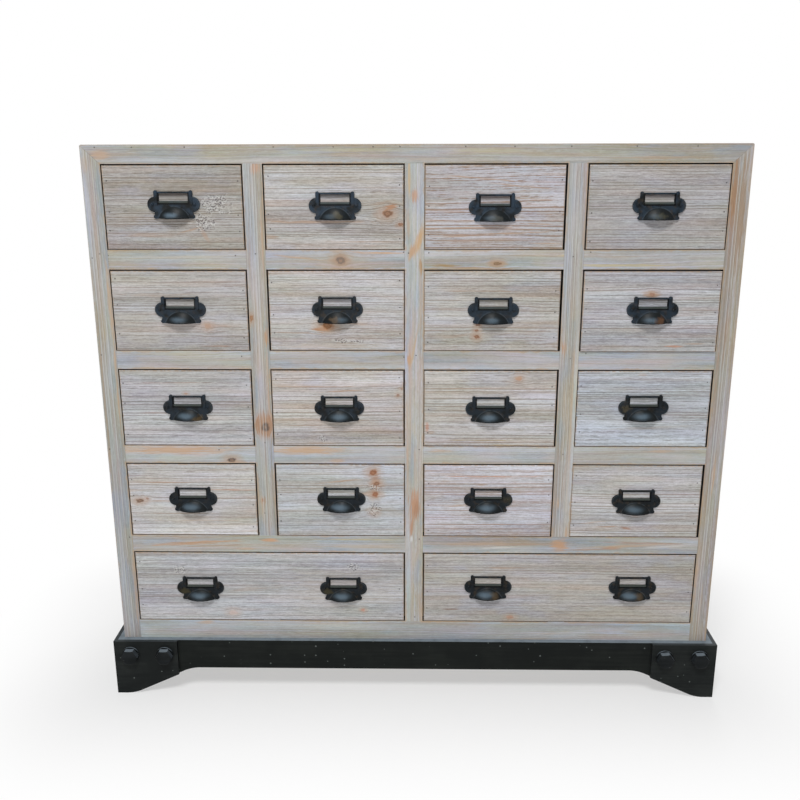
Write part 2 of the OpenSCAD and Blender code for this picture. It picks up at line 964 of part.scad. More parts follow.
top_board();
bottom_board();
left_side();
right_side();
back_panel();
centre_partition();
quarter_partitions();
lower_shelves();
drawer_runners();
drawer_guides();
top_rail();
bottom_rail();
left_stile();
right_stile();
centre_stile();
divider_stiles();
short_rails();
long_rails();
base_front_skirt();
base_back_skirt();
base_side_skirts();
base_blocks();
corner_plates();
corner_bolts();
drawer(0, 0);  // drawer_r1c1
drawer(0, 1);  // drawer_r1c2
drawer(0, 2);  // drawer_r1c3
drawer(0, 3);  // drawer_r1c4
drawer(1, 0);  // drawer_r2c1
drawer(1, 1);  // drawer_r2c2
drawer(1, 2);  // drawer_r2c3
drawer(1, 3);  // drawer_r2c4
drawer(2, 0);  // drawer_r3c1
drawer(2, 1);  // drawer_r3c2
drawer(2, 2);  // drawer_r3c3
drawer(2, 3);  // drawer_r3c4
drawer(3, 0);  // drawer_r4c1
drawer(3, 1);  // drawer_r4c2
drawer(3, 2);  // drawer_r4c3
drawer(3, 3);  // drawer_r4c4
drawer(WIDE_ROW, 0);  // drawer_wide_left
drawer(WIDE_ROW, 2);  // drawer_wide_right
pulls(0, 0);  // pull_r1c1
pulls(0, 1);  // pull_r1c2
pulls(0, 2);  // pull_r1c3
pulls(0, 3);  // pull_r1c4
pulls(1, 0);  // pull_r2c1
pulls(1, 1);  // pull_r2c2
pulls(1, 2);  // pull_r2c3
pulls(1, 3);  // pull_r2c4
pulls(2, 0);  // pull_r3c1
pulls(2, 1);  // pull_r3c2
pulls(2, 2);  // pull_r3c3
pulls(2, 3);  // pull_r3c4
pulls(3, 0);  // pull_r4c1
pulls(3, 1);  // pull_r4c2
pulls(3, 2);  // pull_r4c3
pulls(3, 3);  // pull_r4c4
pulls(WIDE_ROW, 0);  // pulls_wide_left
pulls(WIDE_ROW, 2);  // pulls_wide_right
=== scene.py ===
# %% [markdown]
# # A lime-washed multi-drawer cabinet
#
# The cabinet comes in as a finished construction: boards, drawers, cast pulls and base are exact
# solids, and each drawer already slides. This lesson gives them their looks. Nothing is moved.
# We set up the camera and a soft studio first, then build each finish from nodes: brushed and
# lime-washed fir, raw wood inside, waxed cast iron, and the black paint of the base.

# %% Load the cabinet
import math
import random

import bpy
from mathutils import Matrix, Vector


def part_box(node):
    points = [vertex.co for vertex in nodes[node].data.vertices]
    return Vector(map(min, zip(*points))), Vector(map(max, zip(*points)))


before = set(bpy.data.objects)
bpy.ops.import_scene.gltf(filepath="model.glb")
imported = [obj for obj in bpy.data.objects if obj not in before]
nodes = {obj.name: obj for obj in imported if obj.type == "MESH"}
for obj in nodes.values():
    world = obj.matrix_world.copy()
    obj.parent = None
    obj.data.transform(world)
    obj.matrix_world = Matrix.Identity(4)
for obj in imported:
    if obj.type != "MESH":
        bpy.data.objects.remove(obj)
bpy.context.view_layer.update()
bpy.ops.object.select_all(action="DESELECT")

# %% [markdown]
# ## The layout, in metres
#
# Patterns such as a knot or a rubbed edge sit at a place on the cabinet, so we need its main sizes.
# They are read from the boxes of the nodes where we can, which keeps them right if a board changes.

# %% Main sizes
stile_low, stile_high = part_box("left_stile")
rail_low, rail_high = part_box("long_rails")
face_y = stile_low.y
half_width = -stile_low.x
top_z = stile_high.z
top_rail_height = top_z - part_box("top_rail")[0].z
rail_height = rail_high.z - rail_low.z
stile_width = stile_high.x - stile_low.x
divider_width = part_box("centre_stile")[1].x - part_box("centre_stile")[0].x
pitch_x = (2 * half_width - 2 * stile_width + divider_width) / 4
pitch_z = (top_z - top_rail_height - rail_low.z) / 4
opening_width = pitch_x - divider_width
opening_height = pitch_z - rail_height
print("pitch", round(pitch_x, 4), round(pitch_z, 4), "opening", round(opening_width, 4),
      round(opening_height, 4))

# %% [markdown]
# ## Camera
#
# The picture was taken from a little over the cabinet's height, looking down by some fifteen degrees,
# so the uprights lean together towards the floor. A long lens would lose that lean. The place, the
# tilt and the focal length below come from lining up the straight edges of the face frame.

# %% Place the camera
camera_data = bpy.data.cameras.new("camera")
camera = bpy.data.objects.new("camera", camera_data)
bpy.context.scene.collection.objects.link(camera)
picture_width = 800
focal_pixels = 908
camera_data.sensor_width = 36
camera_data.sensor_fit = "HORIZONTAL"
camera_data.lens = focal_pixels / picture_width * camera_data.sensor_width
camera_data.clip_start = 0.05
yaw, pitch, roll = -0.01724, 0.27295, -0.002277
ahead = Vector((math.sin(yaw) * math.cos(pitch), math.cos(yaw) * math.cos(pitch), -math.sin(pitch)))
right = Vector((math.cos(yaw), -math.sin(yaw), 0))
up = right.cross(ahead)
right_rolled = right * math.cos(roll) + up * math.sin(roll)
up_rolled = up * math.cos(roll) - right * math.sin(roll)
camera_x, camera_distance, camera_rise = 0.00152, 1.53533, 0.89966
camera.matrix_world = Matrix((
    (right_rolled.x, up_rolled.x, -ahead.x, camera_x),
    (right_rolled.y, up_rolled.y, -ahead.y, face_y - camera_distance),
    (right_rolled.z, up_rolled.z, -ahead.z, stile_low.z + camera_rise),
    (0, 0, 0, 1),
))
bpy.context.scene.camera = camera
print("lens", round(camera_data.lens, 2), "mm at", [round(v, 3) for v in camera.matrix_world.translation])

# %% [markdown]
# ## Helpers for shader nodes
#
# A finish is a small machine of nodes. The output of a node is wrapped as a term, and terms add and
# multiply like numbers, so that each finish below reads like a formula. Every sign in such a formula
# becomes a node in the tree that its terms belong to.

# %% Colours and terms
def colour(red, green, blue):
    """A colour as a paint chart gives it, 0 to 255, turned into the linear values of the shader."""
    def linear(value):
        value /= 255
        return value / 12.92 if value <= 0.04045 else ((value + 0.055) / 1.055) ** 2.4
    return (linear(red), linear(green), linear(blue), 1)


class Term:
    """The output of a node, which can be added, multiplied or compared like a number."""

    def __init__(self, socket):
        self.socket = socket

    def __add__(self, other):
        return maths("ADD", self, other)

    def __sub__(self, other):
        return maths("SUBTRACT", self, other)

    def __rsub__(self, other):
        return maths("SUBTRACT", other, self)

    def __mul__(self, other):
        return maths("MULTIPLY", self, other)

    def __truediv__(self, other):
        return maths("DIVIDE", self, other)

    def __rtruediv__(self, other):
        return maths("DIVIDE", other, self)

    def __gt__(self, other):
        return maths("GREATER_THAN", self, other)

    def __lt__(self, other):
        return maths("LESS_THAN", self, other)

    def __abs__(self):
        return maths("ABSOLUTE", self)

    __radd__, __rmul__ = __add__, __mul__


def terms_of(sockets):
    """The sockets by name, each as a term."""
    return {socket.name: Term(socket) for socket in sockets}


def feed(socket, value):
    """Links a term to the socket, or sets a plain number there."""
    if isinstance(value, Term):
        socket.id_data.links.new(value.socket, socket)
    else:
        socket.default_value = value


def node(kind, output, inputs, **settings):
    """Adds a node to the tree of its terms, sets it up, feeds it and gives one of its outputs."""
    tree = next(value.socket.id_data for value in inputs.values() if isinstance(value, Term))
    added = tree.nodes.new("ShaderNode" + kind)
    for label, value in settings.items():
        setattr(added, label, value)
    for label, value in inputs.items():
        feed(added.inputs[label], value)
    return Term(added.outputs[output])


print("white is", colour(255, 255, 255), "and mid grey", [round(v, 3) for v in colour(128, 128, 128)])


# %% Sums, noise, fades and blends
def maths(operation, *values):
    return node("Math", 0, dict(enumerate(values)), operation=operation)


def smaller(first, second):
    return maths("MINIMUM", first, second)


def larger(first, second):
    return maths("MAXIMUM", first, second)


def distance(side, over):
    """Length of the pair (side, over)."""
    return maths("SQRT", side * side + over * over)


def split(vector):
    """The three numbers of a vector."""
    return [Term(output) for output in node("SeparateXYZ", 0, {0: vector}).socket.node.outputs]


def join(*numbers):
    return node("CombineXYZ", 0, dict(enumerate(numbers)))


def noise(vector, scale=1.0, detail=2.0, roughness=0.5):
    return node("TexNoise", "Fac", dict(Vector=vector, Scale=scale, Detail=detail, Roughness=roughness))


def line_noise(place, detail=1.0):
    """Noise along one direction only: the same all along a line of the grain."""
    return node("TexNoise", "Fac", dict(W=place, Scale=1.0, Detail=detail), noise_dimensions="1D")


def fade(value, start, end, low=0.0, high=1.0):
    """Goes smoothly from low to high as value goes from start to end."""
    inputs = {"Value": value, "From Min": start, "From Max": end, "To Min": low, "To Max": high}
    return node("MapRange", "Result", inputs, interpolation_type="SMOOTHSTEP")


def blend(factor, first, second, mode="MIX"):
    return node("Mix", 2, {0: factor, 6: first, 7: second}, data_type="RGBA", blend_type=mode)


print("helpers ready")


# %% Groups and materials
def new_group(name, outputs, **inputs):
    """An empty node group. A number, a triple or a colour as the value of an input sets its kind."""
    group = bpy.data.node_groups.new(name, "ShaderNodeTree")
    for label, value in inputs.items():
        kind = {3: "Vector", 4: "Color"}[len(value)] if isinstance(value, tuple) else "Float"
        socket = group.interface.new_socket(name=label.replace("_", " "), in_out="INPUT",
                                            socket_type="NodeSocket" + kind)
        socket.default_value = value
    for label in outputs.split():
        kind = label if label in ("Color", "Vector") else "Float"
        group.interface.new_socket(name=label, in_out="OUTPUT", socket_type="NodeSocket" + kind)
    start = group.nodes.new("NodeGroupInput")
    end = group.nodes.new("NodeGroupOutput")
    return group, terms_of(start.outputs), end.inputs


def use(group, **values):
    """Puts a group beside its terms. An underscore in a name stands for the space in the socket's."""
    inputs = {label.replace("_", " "): value for label, value in values.items()}
    return terms_of(node("Group", 0, inputs, node_tree=group).socket.node.outputs)


def new_material(name):
    """A material, the place of a point on it, and its shader."""
    material = bpy.data.materials.new(name)
    material.use_nodes = True
    tree = material.node_tree
    place = tree.nodes.new("ShaderNodeTexCoord").outputs["Object"]
    return material, Term(place), tree.nodes["Principled BSDF"]


def surface(shader, tone, rough, height, depth):
    """Wires colour, roughness and a bump of the given depth in metres into the shader."""
    feed(shader.inputs["Base Color"], tone)
    feed(shader.inputs["Roughness"], rough)
    feed(shader.inputs["Normal"], node("Bump", "Normal", dict(Distance=depth, Height=height)))


def facing(place):
    """The direction in which the surface looks, as three numbers."""
    return split(Term(place.socket.id_data.nodes.new("ShaderNodeNewGeometry").outputs["Normal"]))


def dress(name, material):
    """Gives a node of the cabinet its material, in every slot it has."""
    for slot in nodes[name].material_slots:
        slot.material = material


print("group and material helpers ready")

# %% [markdown]
# ## The grain of brushed fir
#
# Fir has soft pale wood between hard dark lines. A steel brush takes the soft wood away, so the dark
# lines stand up as fine ridges, and white lime stays in the furrows. The lines run along the board
# with a slight wander. One group makes all of it, on a vector whose X runs along the grain and whose
# Y runs across. A noise in one dimension sets the lines, because they hardly change along the board,
# and a second noise breaks them up. Fine sets how strong the finest streaks and pores are, and Hue
# how far the colour wanders between pink and yellow.

# %% Group: brushed fir, the lines
brushed_fir, get, out = new_group(
    "brushed_fir", "Color Height", Vector=(0, 0, 0), Seed=0.0, Spacing=0.003, Wander=0.006, Lines=0.6,
    Warmth=0.3, Lime=0.5, Wood=colour(186, 178, 166), Line=colour(140, 126, 112),
    Glow=colour(206, 160, 124), White=colour(206, 206, 206), Wash=(1, 1, 1, 1), Uneven=0.5,
    Mottle=colour(172, 172, 184), Mottling=0.4, Fine=1.0, Hue=0.28)
u, v, w = split(get["Vector"])
along = get["Seed"] * 3.17 + u
deep = get["Seed"] * 1.31 + w * 40
slow = noise(join(along * 2.6, v * 7, deep), detail=2)
wandered = (slow - 0.5) * get["Wander"] + v
uneven = noise(join(along * 1.1, v * 22, deep), detail=1)
quick = noise(join(along * 26, v * 90, deep), detail=1)
bends = (quick - 0.5) * 0.4 + (uneven - 0.5) * 6.0
phase = wandered / get["Spacing"] + bends
steady = line_noise(get["Seed"] * 7.7 + phase)
broken = noise(join(along * 14, phase * 1.2, deep), detail=3, roughness=0.6)
short = noise(join(along * 75, phase * 1.5, deep), detail=3, roughness=0.65)
lines = steady * 0.42 + broken * 0.3 + short * 0.28
ridge = fade(lines, 0.505, 0.585)
furrow = fade(lines, 0.485, 0.4)
hair = line_noise(phase * 2.1 + get["Seed"], detail=0.0)
print("lines of", brushed_fir.name, "done")

# %% Group: brushed fir, the colours
fibre = noise(join(along * 40, wandered * 1300, deep), detail=2)
streak = noise(join(along * 80, wandered * 430, deep), detail=3, roughness=0.65)
pores = noise(join(along * 250, wandered * 480, deep), detail=2)
band = noise(join(along * 2.4, wandered * 38, deep), detail=3)
wide_band = noise(join(along * 1.6, wandered * 15, deep + 4.0), detail=3)
cloudy = noise(join(along * 11, wandered * 34, deep + 9.0), detail=3)
mottled = fade(cloudy, 0.47, 0.62) * get["Mottling"]
warm_noise = noise(join(along * 3.4 + 5.0, wandered * 75, deep), detail=3)
warm = fade(warm_noise, 0.5, 0.68)
washed = blend(mottled, get["Wood"], get["Mottle"])
base = blend(fade(band, 0.36, 0.62) * get["Lime"], washed, get["White"])
lined = blend(ridge * get["Lines"], base, get["Line"])
warmed = blend(warm * get["Warmth"], lined, get["Glow"])
settled = furrow * fade(streak, 0.36, 0.6) * get["Lime"]
limed = blend(settled, warmed, get["White"])
small = fibre * 0.14 + streak * 0.5 + pores * 0.42
fine = (small - 0.53) * get["Fine"] + (hair - 0.5) * 0.55 * get["Lines"]
broad = (band + wide_band - 1.0) * get["Uneven"]
shade = fine + broad + 1.0
yellow = noise(join(along * 7, wandered * 30, deep + 13.0), detail=2)
pink = noise(join(along * 9, wandered * 90, deep + 17.0), detail=2)
pinker = (pink - 0.5) * 0.6 * get["Hue"] + 1.0
yellower = yellow - 0.5 + (hair - 0.5) * 0.5
bluer = yellower * get["Hue"] + 1.0
shaded = blend(1.0, limed, join(shade * pinker, shade, shade * bluer), mode="MULTIPLY")
feed(out["Color"], blend(1.0, shaded, get["Wash"], mode="MULTIPLY"))
feed(out["Height"], ridge * 0.7 + fibre * 0.3)
print("group", brushed_fir.name, "has", len(brushed_fir.nodes), "nodes")

# %% [markdown]
# ## Knots, rubbed patches, flaked paint and nails
#
# A knot is where a branch grew: a dark core with rings, a warm halo, and grain that flows round it.
# Its group gives those masks, and moves the vector aside so that the lines bend round the knot.
# A rubbed patch is a place where the wash is thin, and its input Broken says how ragged its outline
# is. Flaked paint is white and dark specks over a cluster of small knots. A nail is a dark dot.

# %% Group: knot
knot, get, out = new_group(
    "knot", "Vector Core Rings Halo", Vector=(0, 0, 0), U=0.0, V=0.0, Radius=0.004, Stretch=1.4)
u, v, w = split(get["Vector"])
side = (u - get["U"]) / get["Stretch"]
over = v - get["V"]
ragged = noise(get["Vector"], scale=0.9 / get["Radius"], detail=3)
away = distance(side, over) / get["Radius"] + (ragged * 1.4 - 0.7)
bow = maths("EXPONENT", away * away * -0.2)
bent = v - over * 0.8 * bow
feed(out["Vector"], join(u, bent, w))
feed(out["Core"], fade(away, 1.15, 0.6))
feed(out["Rings"], maths("SINE", away * 9.0) * 0.5 + 0.5)
feed(out["Halo"], fade(away, 3.2, 0.9))
print("group", knot.name)

# %% Group: streaky patch
patch, get, out = new_group(
    "streaky_patch", "Mask", Vector=(0, 0, 0), U=0.0, V=0.0, Length=0.03, Height=0.006, Slope=0.0,
    Broken=2.6)
u, v, w = split(get["Vector"])
from_u = u - get["U"]
from_v = v - get["V"] - from_u * get["Slope"]
length = distance(from_u / get["Length"], from_v / get["Height"])
streaks = noise(join(u * 30, from_v * 480, w), detail=3, roughness=0.6)
away = (streaks - 0.5) * get["Broken"] + length
feed(out["Mask"], fade(away, 1.0, 0.25))
print("group", patch.name)

# %% Group: flaked paint
flakes, get, out = new_group(
    "flaked_paint", "White Dark", Vector=(0, 0, 0), U=0.0, V=0.0, Length=0.02, Height=0.012)
u, v, w = split(get["Vector"])
length = distance((u - get["U"]) / get["Length"], (v - get["V"]) / get["Height"])
soft = noise(get["Vector"], scale=90, detail=2)
area = fade((soft - 0.5) * 2.4 + length, 1.1, 0.5)
specks = noise(join(u * 300, v * 430, w), detail=3)
feed(out["White"], area * fade(specks, 0.48, 0.58))
feed(out["Dark"], area * fade(specks, 0.46, 0.4))
print("group", flakes.name)

# %% Group: nail
nail, get, out = new_group("nail", "Mask", Vector=(0, 0, 0), U=0.0, V=0.0, Radius=0.0012)
u, v, w = split(get["Vector"])
length = distance(u - get["U"], v - get["V"])
feed(out["Mask"], fade(length / get["Radius"], 1.3, 0.6))
print("group", nail.name)

# %% [markdown]
# ## Edges
#
# Wash rubs off where hands and cloths pass: round each opening and along the outer corners. One
# group measures how far a point is from the border of a rectangle, another how far it is from the
# nearest drawer opening, from the frame's outline and from the mitres of the top corners.

# %% Group: distance from a rectangle's border
border, get, out = new_group(
    "border", "Distance", Vector=(0, 0, 0), Low_U=0.0, High_U=1.0, Low_V=0.0, High_V=1.0)
u, v, w = split(get["Vector"])
from_sides = smaller(u - get["Low U"], get["High U"] - u)
from_ends = smaller(v - get["Low V"], get["High V"] - v)
feed(out["Distance"], smaller(from_sides, from_ends))
print("group", border.name)

# %% Group: distance from the openings, the outline and the mitres
face_edges, get, out = new_group("face_edges", "Opening Joint Outline Mitre", Vector=(0, 0, 0))
x, y, z = split(get["Vector"])


def beyond(coordinate, start, pitch, opening):
    """How far outside the nearest opening a coordinate lies, with openings one pitch apart."""
    cell = maths("FRACT", (coordinate - start) / pitch)
    return abs((cell - 0.5) * pitch) - opening / 2


outermost = half_width - stile_width + divider_width / 2
highest = top_z - top_rail_height + rail_height / 2
beyond_x = beyond(x, -outermost, pitch_x, opening_width) + (abs(x) > outermost)
beyond_z = beyond(z, highest, pitch_z, opening_height) + (z < highest - 5 * pitch_z)
feed(out["Opening"], distance(larger(beyond_x, 0.0), larger(beyond_z, 0.0)))
feed(out["Joint"], abs(beyond_x))
from_side = half_width - abs(x)
from_top = top_z - z
feed(out["Outline"], smaller(from_side, from_top))
feed(out["Mitre"], abs(from_side * (top_rail_height / stile_width) - from_top))
print("group", face_edges.name)

# %% [markdown]
# ## One washed board
#
# Every board of the cabinet follows one recipe: the grain, then its knots, its rubbed patches, its
# flaked paint and its nails, each at its own place. The recipe takes lists, so that a board is
# described in a few lines: u runs along the grain and v across it. The lists of a board are written
# in millimetres, and turned into metres before the recipe sees them.

# %% Colours of knots, worn wood and painted shade
knot_brown = colour(118, 78, 54)
knot_ring = colour(186, 142, 110)
warm_halo = colour(170, 141, 118)
orange = colour(170, 143, 121)
rust_brown = colour(152, 106, 74)
tan = colour(174, 146, 114)
chalk = colour(196, 195, 192)
speck_dark = colour(92, 88, 90)
nail_dark = colour(66, 60, 58)
# Near black of the painted shade in the gaps round the drawers and openings.
gap_shade = colour(16, 13, 11)
# Brown of the painted shadow in the card windows.
window_shadow_brown = colour(66, 58, 58)
print("colours for knots, worn wood and grime mixed")


# %% Recipe: a washed board
def in_metres(marks, lengths, upright=False):
    """Marks with their lengths, which come first, turned from millimetres to metres. On an upright
    board a mark is noted as (x, z, ...) and turned to (along, across, ...)."""
    turned = []
    for mark in marks:
        measures = [value / 1000 for value in mark[:lengths]]
        if upright:
            measures[:2] = measures[1::-1]
        turned.append((*measures, *mark[lengths:]))
    return turned


def paint(shade):
    """The colour of a mark: one that has a name above, or three numbers of the paint chart."""
    return colour(*shade) if len(shade) == 3 else shade


def wash(light, warm):
    """A tint that makes a whole board lighter or darker, and warmer or cooler. Its lightness is partly
    the board's own tone and partly painted light: boards higher up are mostly set darker.
    """
    return (light * (1 + warm), light, light * (1 - warm), 1)


def add_knots(vector, knots):
    """Bends the vector round each knot, and gives it with the knots' masks."""
    masks = []
    for place_u, place_v, radius, stretch, tone, strength in knots:
        found = use(knot, Vector=vector, U=place_u, V=place_v, Radius=radius, Stretch=stretch)
        vector = found["Vector"]
        masks.append((found["Core"], found["Rings"], found["Halo"], tone, strength))
    return vector, masks


def washed_board(vector, grain, knots=(), patches=(), flaked=(), nails=(), broken=2.6):
    """Colour and height of a washed board. A knot is (u, v, radius, stretch, colour, strength), a patch
    (u, v, length, height, slope, colour, strength), flaked paint (u, v, length, height), a nail (u, v)."""
    flowing, masks = add_knots(vector, knots)
    wood = use(brushed_fir, Vector=flowing, **grain)
    tone, height = wood["Color"], wood["Height"]
    for place_u, place_v, length, high, slope, shade, strength in patches:
        rubbed = use(patch, Vector=flowing, U=place_u, V=place_v, Length=length, Height=high,
                     Slope=slope, Broken=broken)
        tone = blend(rubbed["Mask"] * (0.8 * strength), tone, paint(shade))
    for core, rings, halo, shade, strength in masks:
        tone = blend(halo * (0.6 * strength), tone, warm_halo)
        centre = blend(rings * 0.32, paint(shade), knot_ring)
        tone = blend(core * strength, tone, centre)
    for place_u, place_v, length, high in flaked:
        specks = use(flakes, Vector=vector, U=place_u, V=place_v, Length=length, Height=high)
        tone = blend(specks["White"] * 0.8, tone, chalk)
        tone = blend(specks["Dark"] * 0.9, tone, speck_dark)
        height += specks["White"] * 0.6
    for place_u, place_v in nails:
        mask = use(nail, Vector=vector, U=place_u, V=place_v)["Mask"]
        tone = blend(mask * 0.8, tone, nail_dark)
        height -= mask
    return tone, height


print("recipe ready: washed board")

# %% [markdown]
# ## The drawer fronts
#
# Every front is a board of its own, so each gets its own material: a tint, how strong its lines and
# warm streaks are, and its own marks. There are four tints: sand, pearl, lilac and rose. Behind the
# front board the same node holds the box's sides, back and bottom, which are raw wood, so the
# recipe changes to raw fir behind the front. Three nails hold each end of a front. The edges of a
# front are painted near black close behind its face: painted shade in the gap round the drawer.

# %% Tints and raw wood
tints = {
    "sand": dict(Wood=colour(174, 165, 154), Line=colour(134, 120, 106), White=colour(190, 186, 183)),
    "pearl": dict(Wood=colour(178, 172, 165), Line=colour(140, 129, 118), White=colour(194, 192, 193)),
    "lilac": dict(Wood=colour(174, 174, 175), Line=colour(134, 130, 128), White=colour(194, 197, 202)),
    "rose": dict(Wood=colour(180, 169, 163), Line=colour(150, 124, 106), White=colour(194, 190, 193)),
}
raw_fir = dict(
    Seed=61, Spacing=0.006, Wander=0.01, Lines=0.4, Warmth=0.25, Lime=0.2, Mottling=0.0, Hue=0.15, Fine=0.7,
    Wood=colour(204, 178, 138), Line=colour(170, 134, 92), White=colour(218, 198, 162),
    Glow=colour(208, 162, 112))
front_thickness, front_relief, front_roughness = 0.020, 0.0005, 0.74
print("tints:", ", ".join(tints))

# %% [markdown]
# ## Behind the card windows
#
# Wood shows through the window of each pull. The upper part of each window is painted darker, a
# painted shadow of the card frame's top bar, strongest in the upper rows. To find the windows we
# need a few sizes of the casting, measured from the middle of its lower edge.

# %% Sizes of a pull
lobe_x, lobe_z, lobe_radius = 0.0312, 0.0232, 0.0126
arch_radius, arch_drop = 0.0270, 0.0077
window_half, window_high = 0.0240, 0.0165
step_top, step_width = 0.0253, 0.0022
pull_half_width = lobe_x + lobe_radius
# Strength of the painted shadow in the card windows, by row: strongest in the upper rows.
window_shadow = {"r1": 0.66, "r2": 0.45, "r3": 0.15}
least_window_shadow = 0.05
print("a pull is", round(2000 * pull_half_width, 1), "mm wide")


# %% Recipe: a drawer
def grain_across(place):
    """Grain for the box of a drawer: along its depth on level faces, along its length on upright ones."""
    x, y, z = split(place)
    level = abs(facing(place)[2]) > 0.5
    return node("Mix", 1, {0: level, 4: join(x + y, z, 0.0), 5: join(y, x, 0.0)}, data_type="VECTOR")


def end_nails(seed, low, high):
    """Three nails near each end of a front, each a little off its line."""
    dice = random.Random(seed)
    return [(end + dice.uniform(-0.0012, 0.0012),
             low.z + (high.z - low.z) * (share + dice.uniform(-0.09, 0.09)))
            for end in (low.x + 0.0068, high.x - 0.0068) for share in (0.17, 0.5, 0.83)]


def shadow_in_windows(place, name):
    """Where the wood shows through a pull's card window: a painted shadow, darker towards the window's top.
    """
    x, y, z = split(place)
    low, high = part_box(name)
    middles = [(low.x + high.x) / 2]
    if high.x - low.x > 3 * pull_half_width:
        middles = [low.x + pull_half_width, high.x - pull_half_width]
    soft = 0.001
    mask = 0.0
    for middle in middles:
        mask = larger(fade(abs(x - middle), window_half + soft, window_half - soft), mask)
    sill = low.z + step_top
    head = sill + window_high
    darker = fade(z, sill + 0.006, sill + window_high * 0.75, 0.08, 1.0)
    return mask * darker * fade(z, sill, sill + soft) * fade(z, head + soft, head)


def brushed(lines, warmth, lime, spacing, wander=6):
    """How a front was brushed. The spacing and the wander of its lines are in millimetres."""
    return dict(Lines=lines, Warmth=warmth, Lime=lime, Spacing=spacing / 1000, Wander=wander / 1000)


def drawer_material(name, seed, tint, grain, light, warm, knots=(), patches=(), flaked=()):
    """The wood of a drawer, front and box. Its marks are in millimetres."""
    low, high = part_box(name)
    material, place, shader = new_material(name + "_wood")
    x, y, z = split(place)
    flat = join(x, z, y)
    settings = dict(Seed=seed, Glow=orange, Wash=wash(light, warm), **tints[tint], **grain)
    face, height = washed_board(flat, settings, in_metres(knots, 3), in_metres(patches, 4),
                                in_metres(flaked, 4), end_nails(seed, low, high))
    edge = use(border, Vector=flat, Low_U=low.x, High_U=high.x, Low_V=low.z, High_V=high.z)["Distance"]
    chips = noise(place, scale=160, detail=2)
    worn = fade(edge, 0.0026, 0.0008) * fade(chips, 0.35, 0.6)
    face = blend(worn * 0.6, face, tan)
    pull = name.replace("drawer_wide", "pulls_wide").replace("drawer_", "pull_")
    # Painted shadow: the wood in the upper part of each card window is darkened.
    window_shading = shadow_in_windows(place, pull) * window_shadow.get(pull[5:7], least_window_shadow)
    face = blend(window_shading, face, window_shadow_brown)
    raw = use(brushed_fir, Vector=grain_across(place), **raw_fir)
    # Painted shade: near black just behind the face, fading further back, to darken the gap round the
    # drawer.
    gap_shading = fade(y, low.y + 0.0007, low.y + 0.0014) * fade(y, low.y + 0.01, low.y + 0.005, 0.3, 1.0)
    face = blend(gap_shading, face, gap_shade)
    just_behind = low.y + front_thickness + 0.00005
    tone = blend(y > just_behind, face, raw["Color"])
    surface(shader, tone, front_roughness, height, front_relief)
    dress(name, material)


print("recipe ready: drawer")

# %% [markdown]
# ## Eighteen drawers
#
# Now each drawer is described: its tint, its brushing and its marks. Positions are read off the
# front in millimetres: u is the distance from the middle of the cabinet and v the height over the
# floor. Light and warm tune the whole board; light is partly painted light, set lower in the upper
# rows, where less light fell.

# %% First row
drawer_material(
    "drawer_r1c1", 1, "sand", brushed(0.69, 0.35, 0.45, 2.4), 0.84, -0.04,
    patches=[
        (-374, 874, 26, 2.8, 0.28, orange, 0.8), (-352, 868, 10, 10, -1.2, orange, 0.7),
        (-450, 866, 60, 4, 0, orange, 0.5), (-400, 945, 120, 14, 0, (166, 152, 132), 0.2),
        (-420, 905, 90, 8, 0, (164, 148, 126), 0.15)],
    flaked=[(-330, 917, 32, 16), (-350, 888, 20, 16)])
drawer_material(
    "drawer_r1c2", 2, "sand", brushed(0.62, 0.4, 0.5, 2.4), 0.97, -0.05,
    knots=[(-45, 901, 6.6, 1.5, (112, 80, 58), 0.95), (-23, 885, 3.6, 1.3, knot_brown, 0.8)],
    patches=[
        (-140, 955, 160, 10, 0, (150, 138, 118), 0.5), (-160, 888, 130, 2.8, 0, orange, 0.9),
        (-40, 907, 14, 8, 0.4, (166, 118, 84), 1.2), (-50, 917, 30, 4, 0.2, orange, 0.5),
        (-242, 863, 16, 5, 0, orange, 0.7), (-80, 855, 90, 1.8, 0, orange, 0.7)])
drawer_material(
    "drawer_r1c3", 3, "rose", brushed(0.9, 0.6, 0.6, 3.4, 16), 0.91, -0.06,
    patches=[
        (110, 958, 100, 2, -0.08, orange, 0.9), (170, 946, 80, 2.2, -0.1, orange, 0.9),
        (100, 878, 130, 2.2, 0.02, orange, 1.0), (160, 869, 100, 2.6, 0.03, orange, 1.0),
        (70, 864, 70, 2.2, 0.02, orange, 1.0), (200, 884, 50, 2.2, -0.03, orange, 0.9),
        (220, 852, 50, 2.2, 0, orange, 0.8), (55, 905, 50, 2, -0.03, orange, 0.7),
        (190, 925, 60, 2, -0.05, orange, 0.7)])
drawer_material("drawer_r1c4", 4, "pearl", brushed(0.62, 0.15, 0.55, 2.2, 3), 0.8, -0.02)
print("first row dressed")

# %% Second row
drawer_material(
    "drawer_r2c1", 5, "pearl", brushed(0.62, 0.25, 0.5, 2.6), 0.88, -0.02,
    knots=[(-356, 711, 4.2, 1.3, (168, 140, 120), 0.7)],
    patches=[
        (-345, 712, 50, 2.2, 0, orange, 0.5), (-440, 765, 100, 4, 0, (168, 146, 128), 0.5),
        (-340, 676, 40, 1.4, 0, rust_brown, 0.6)])
drawer_material(
    "drawer_r2c2", 6, "pearl", brushed(0.62, 0.3, 0.6, 2.4, 4), 0.97, -0.02,
    knots=[(-149, 711.5, 6.6, 1.6, (138, 94, 58), 1.0)],
    patches=[
        (-155, 710, 24, 6, 0.1, (168, 122, 84), 1.2), (-100, 715, 50, 2.2, -0.05, orange, 0.6),
        (-200, 700, 50, 2, 0, orange, 0.5), (-140, 677, 120, 8, 0, (176, 160, 138), 0.6)],
    flaked=[(-115, 686, 34, 4.5)])
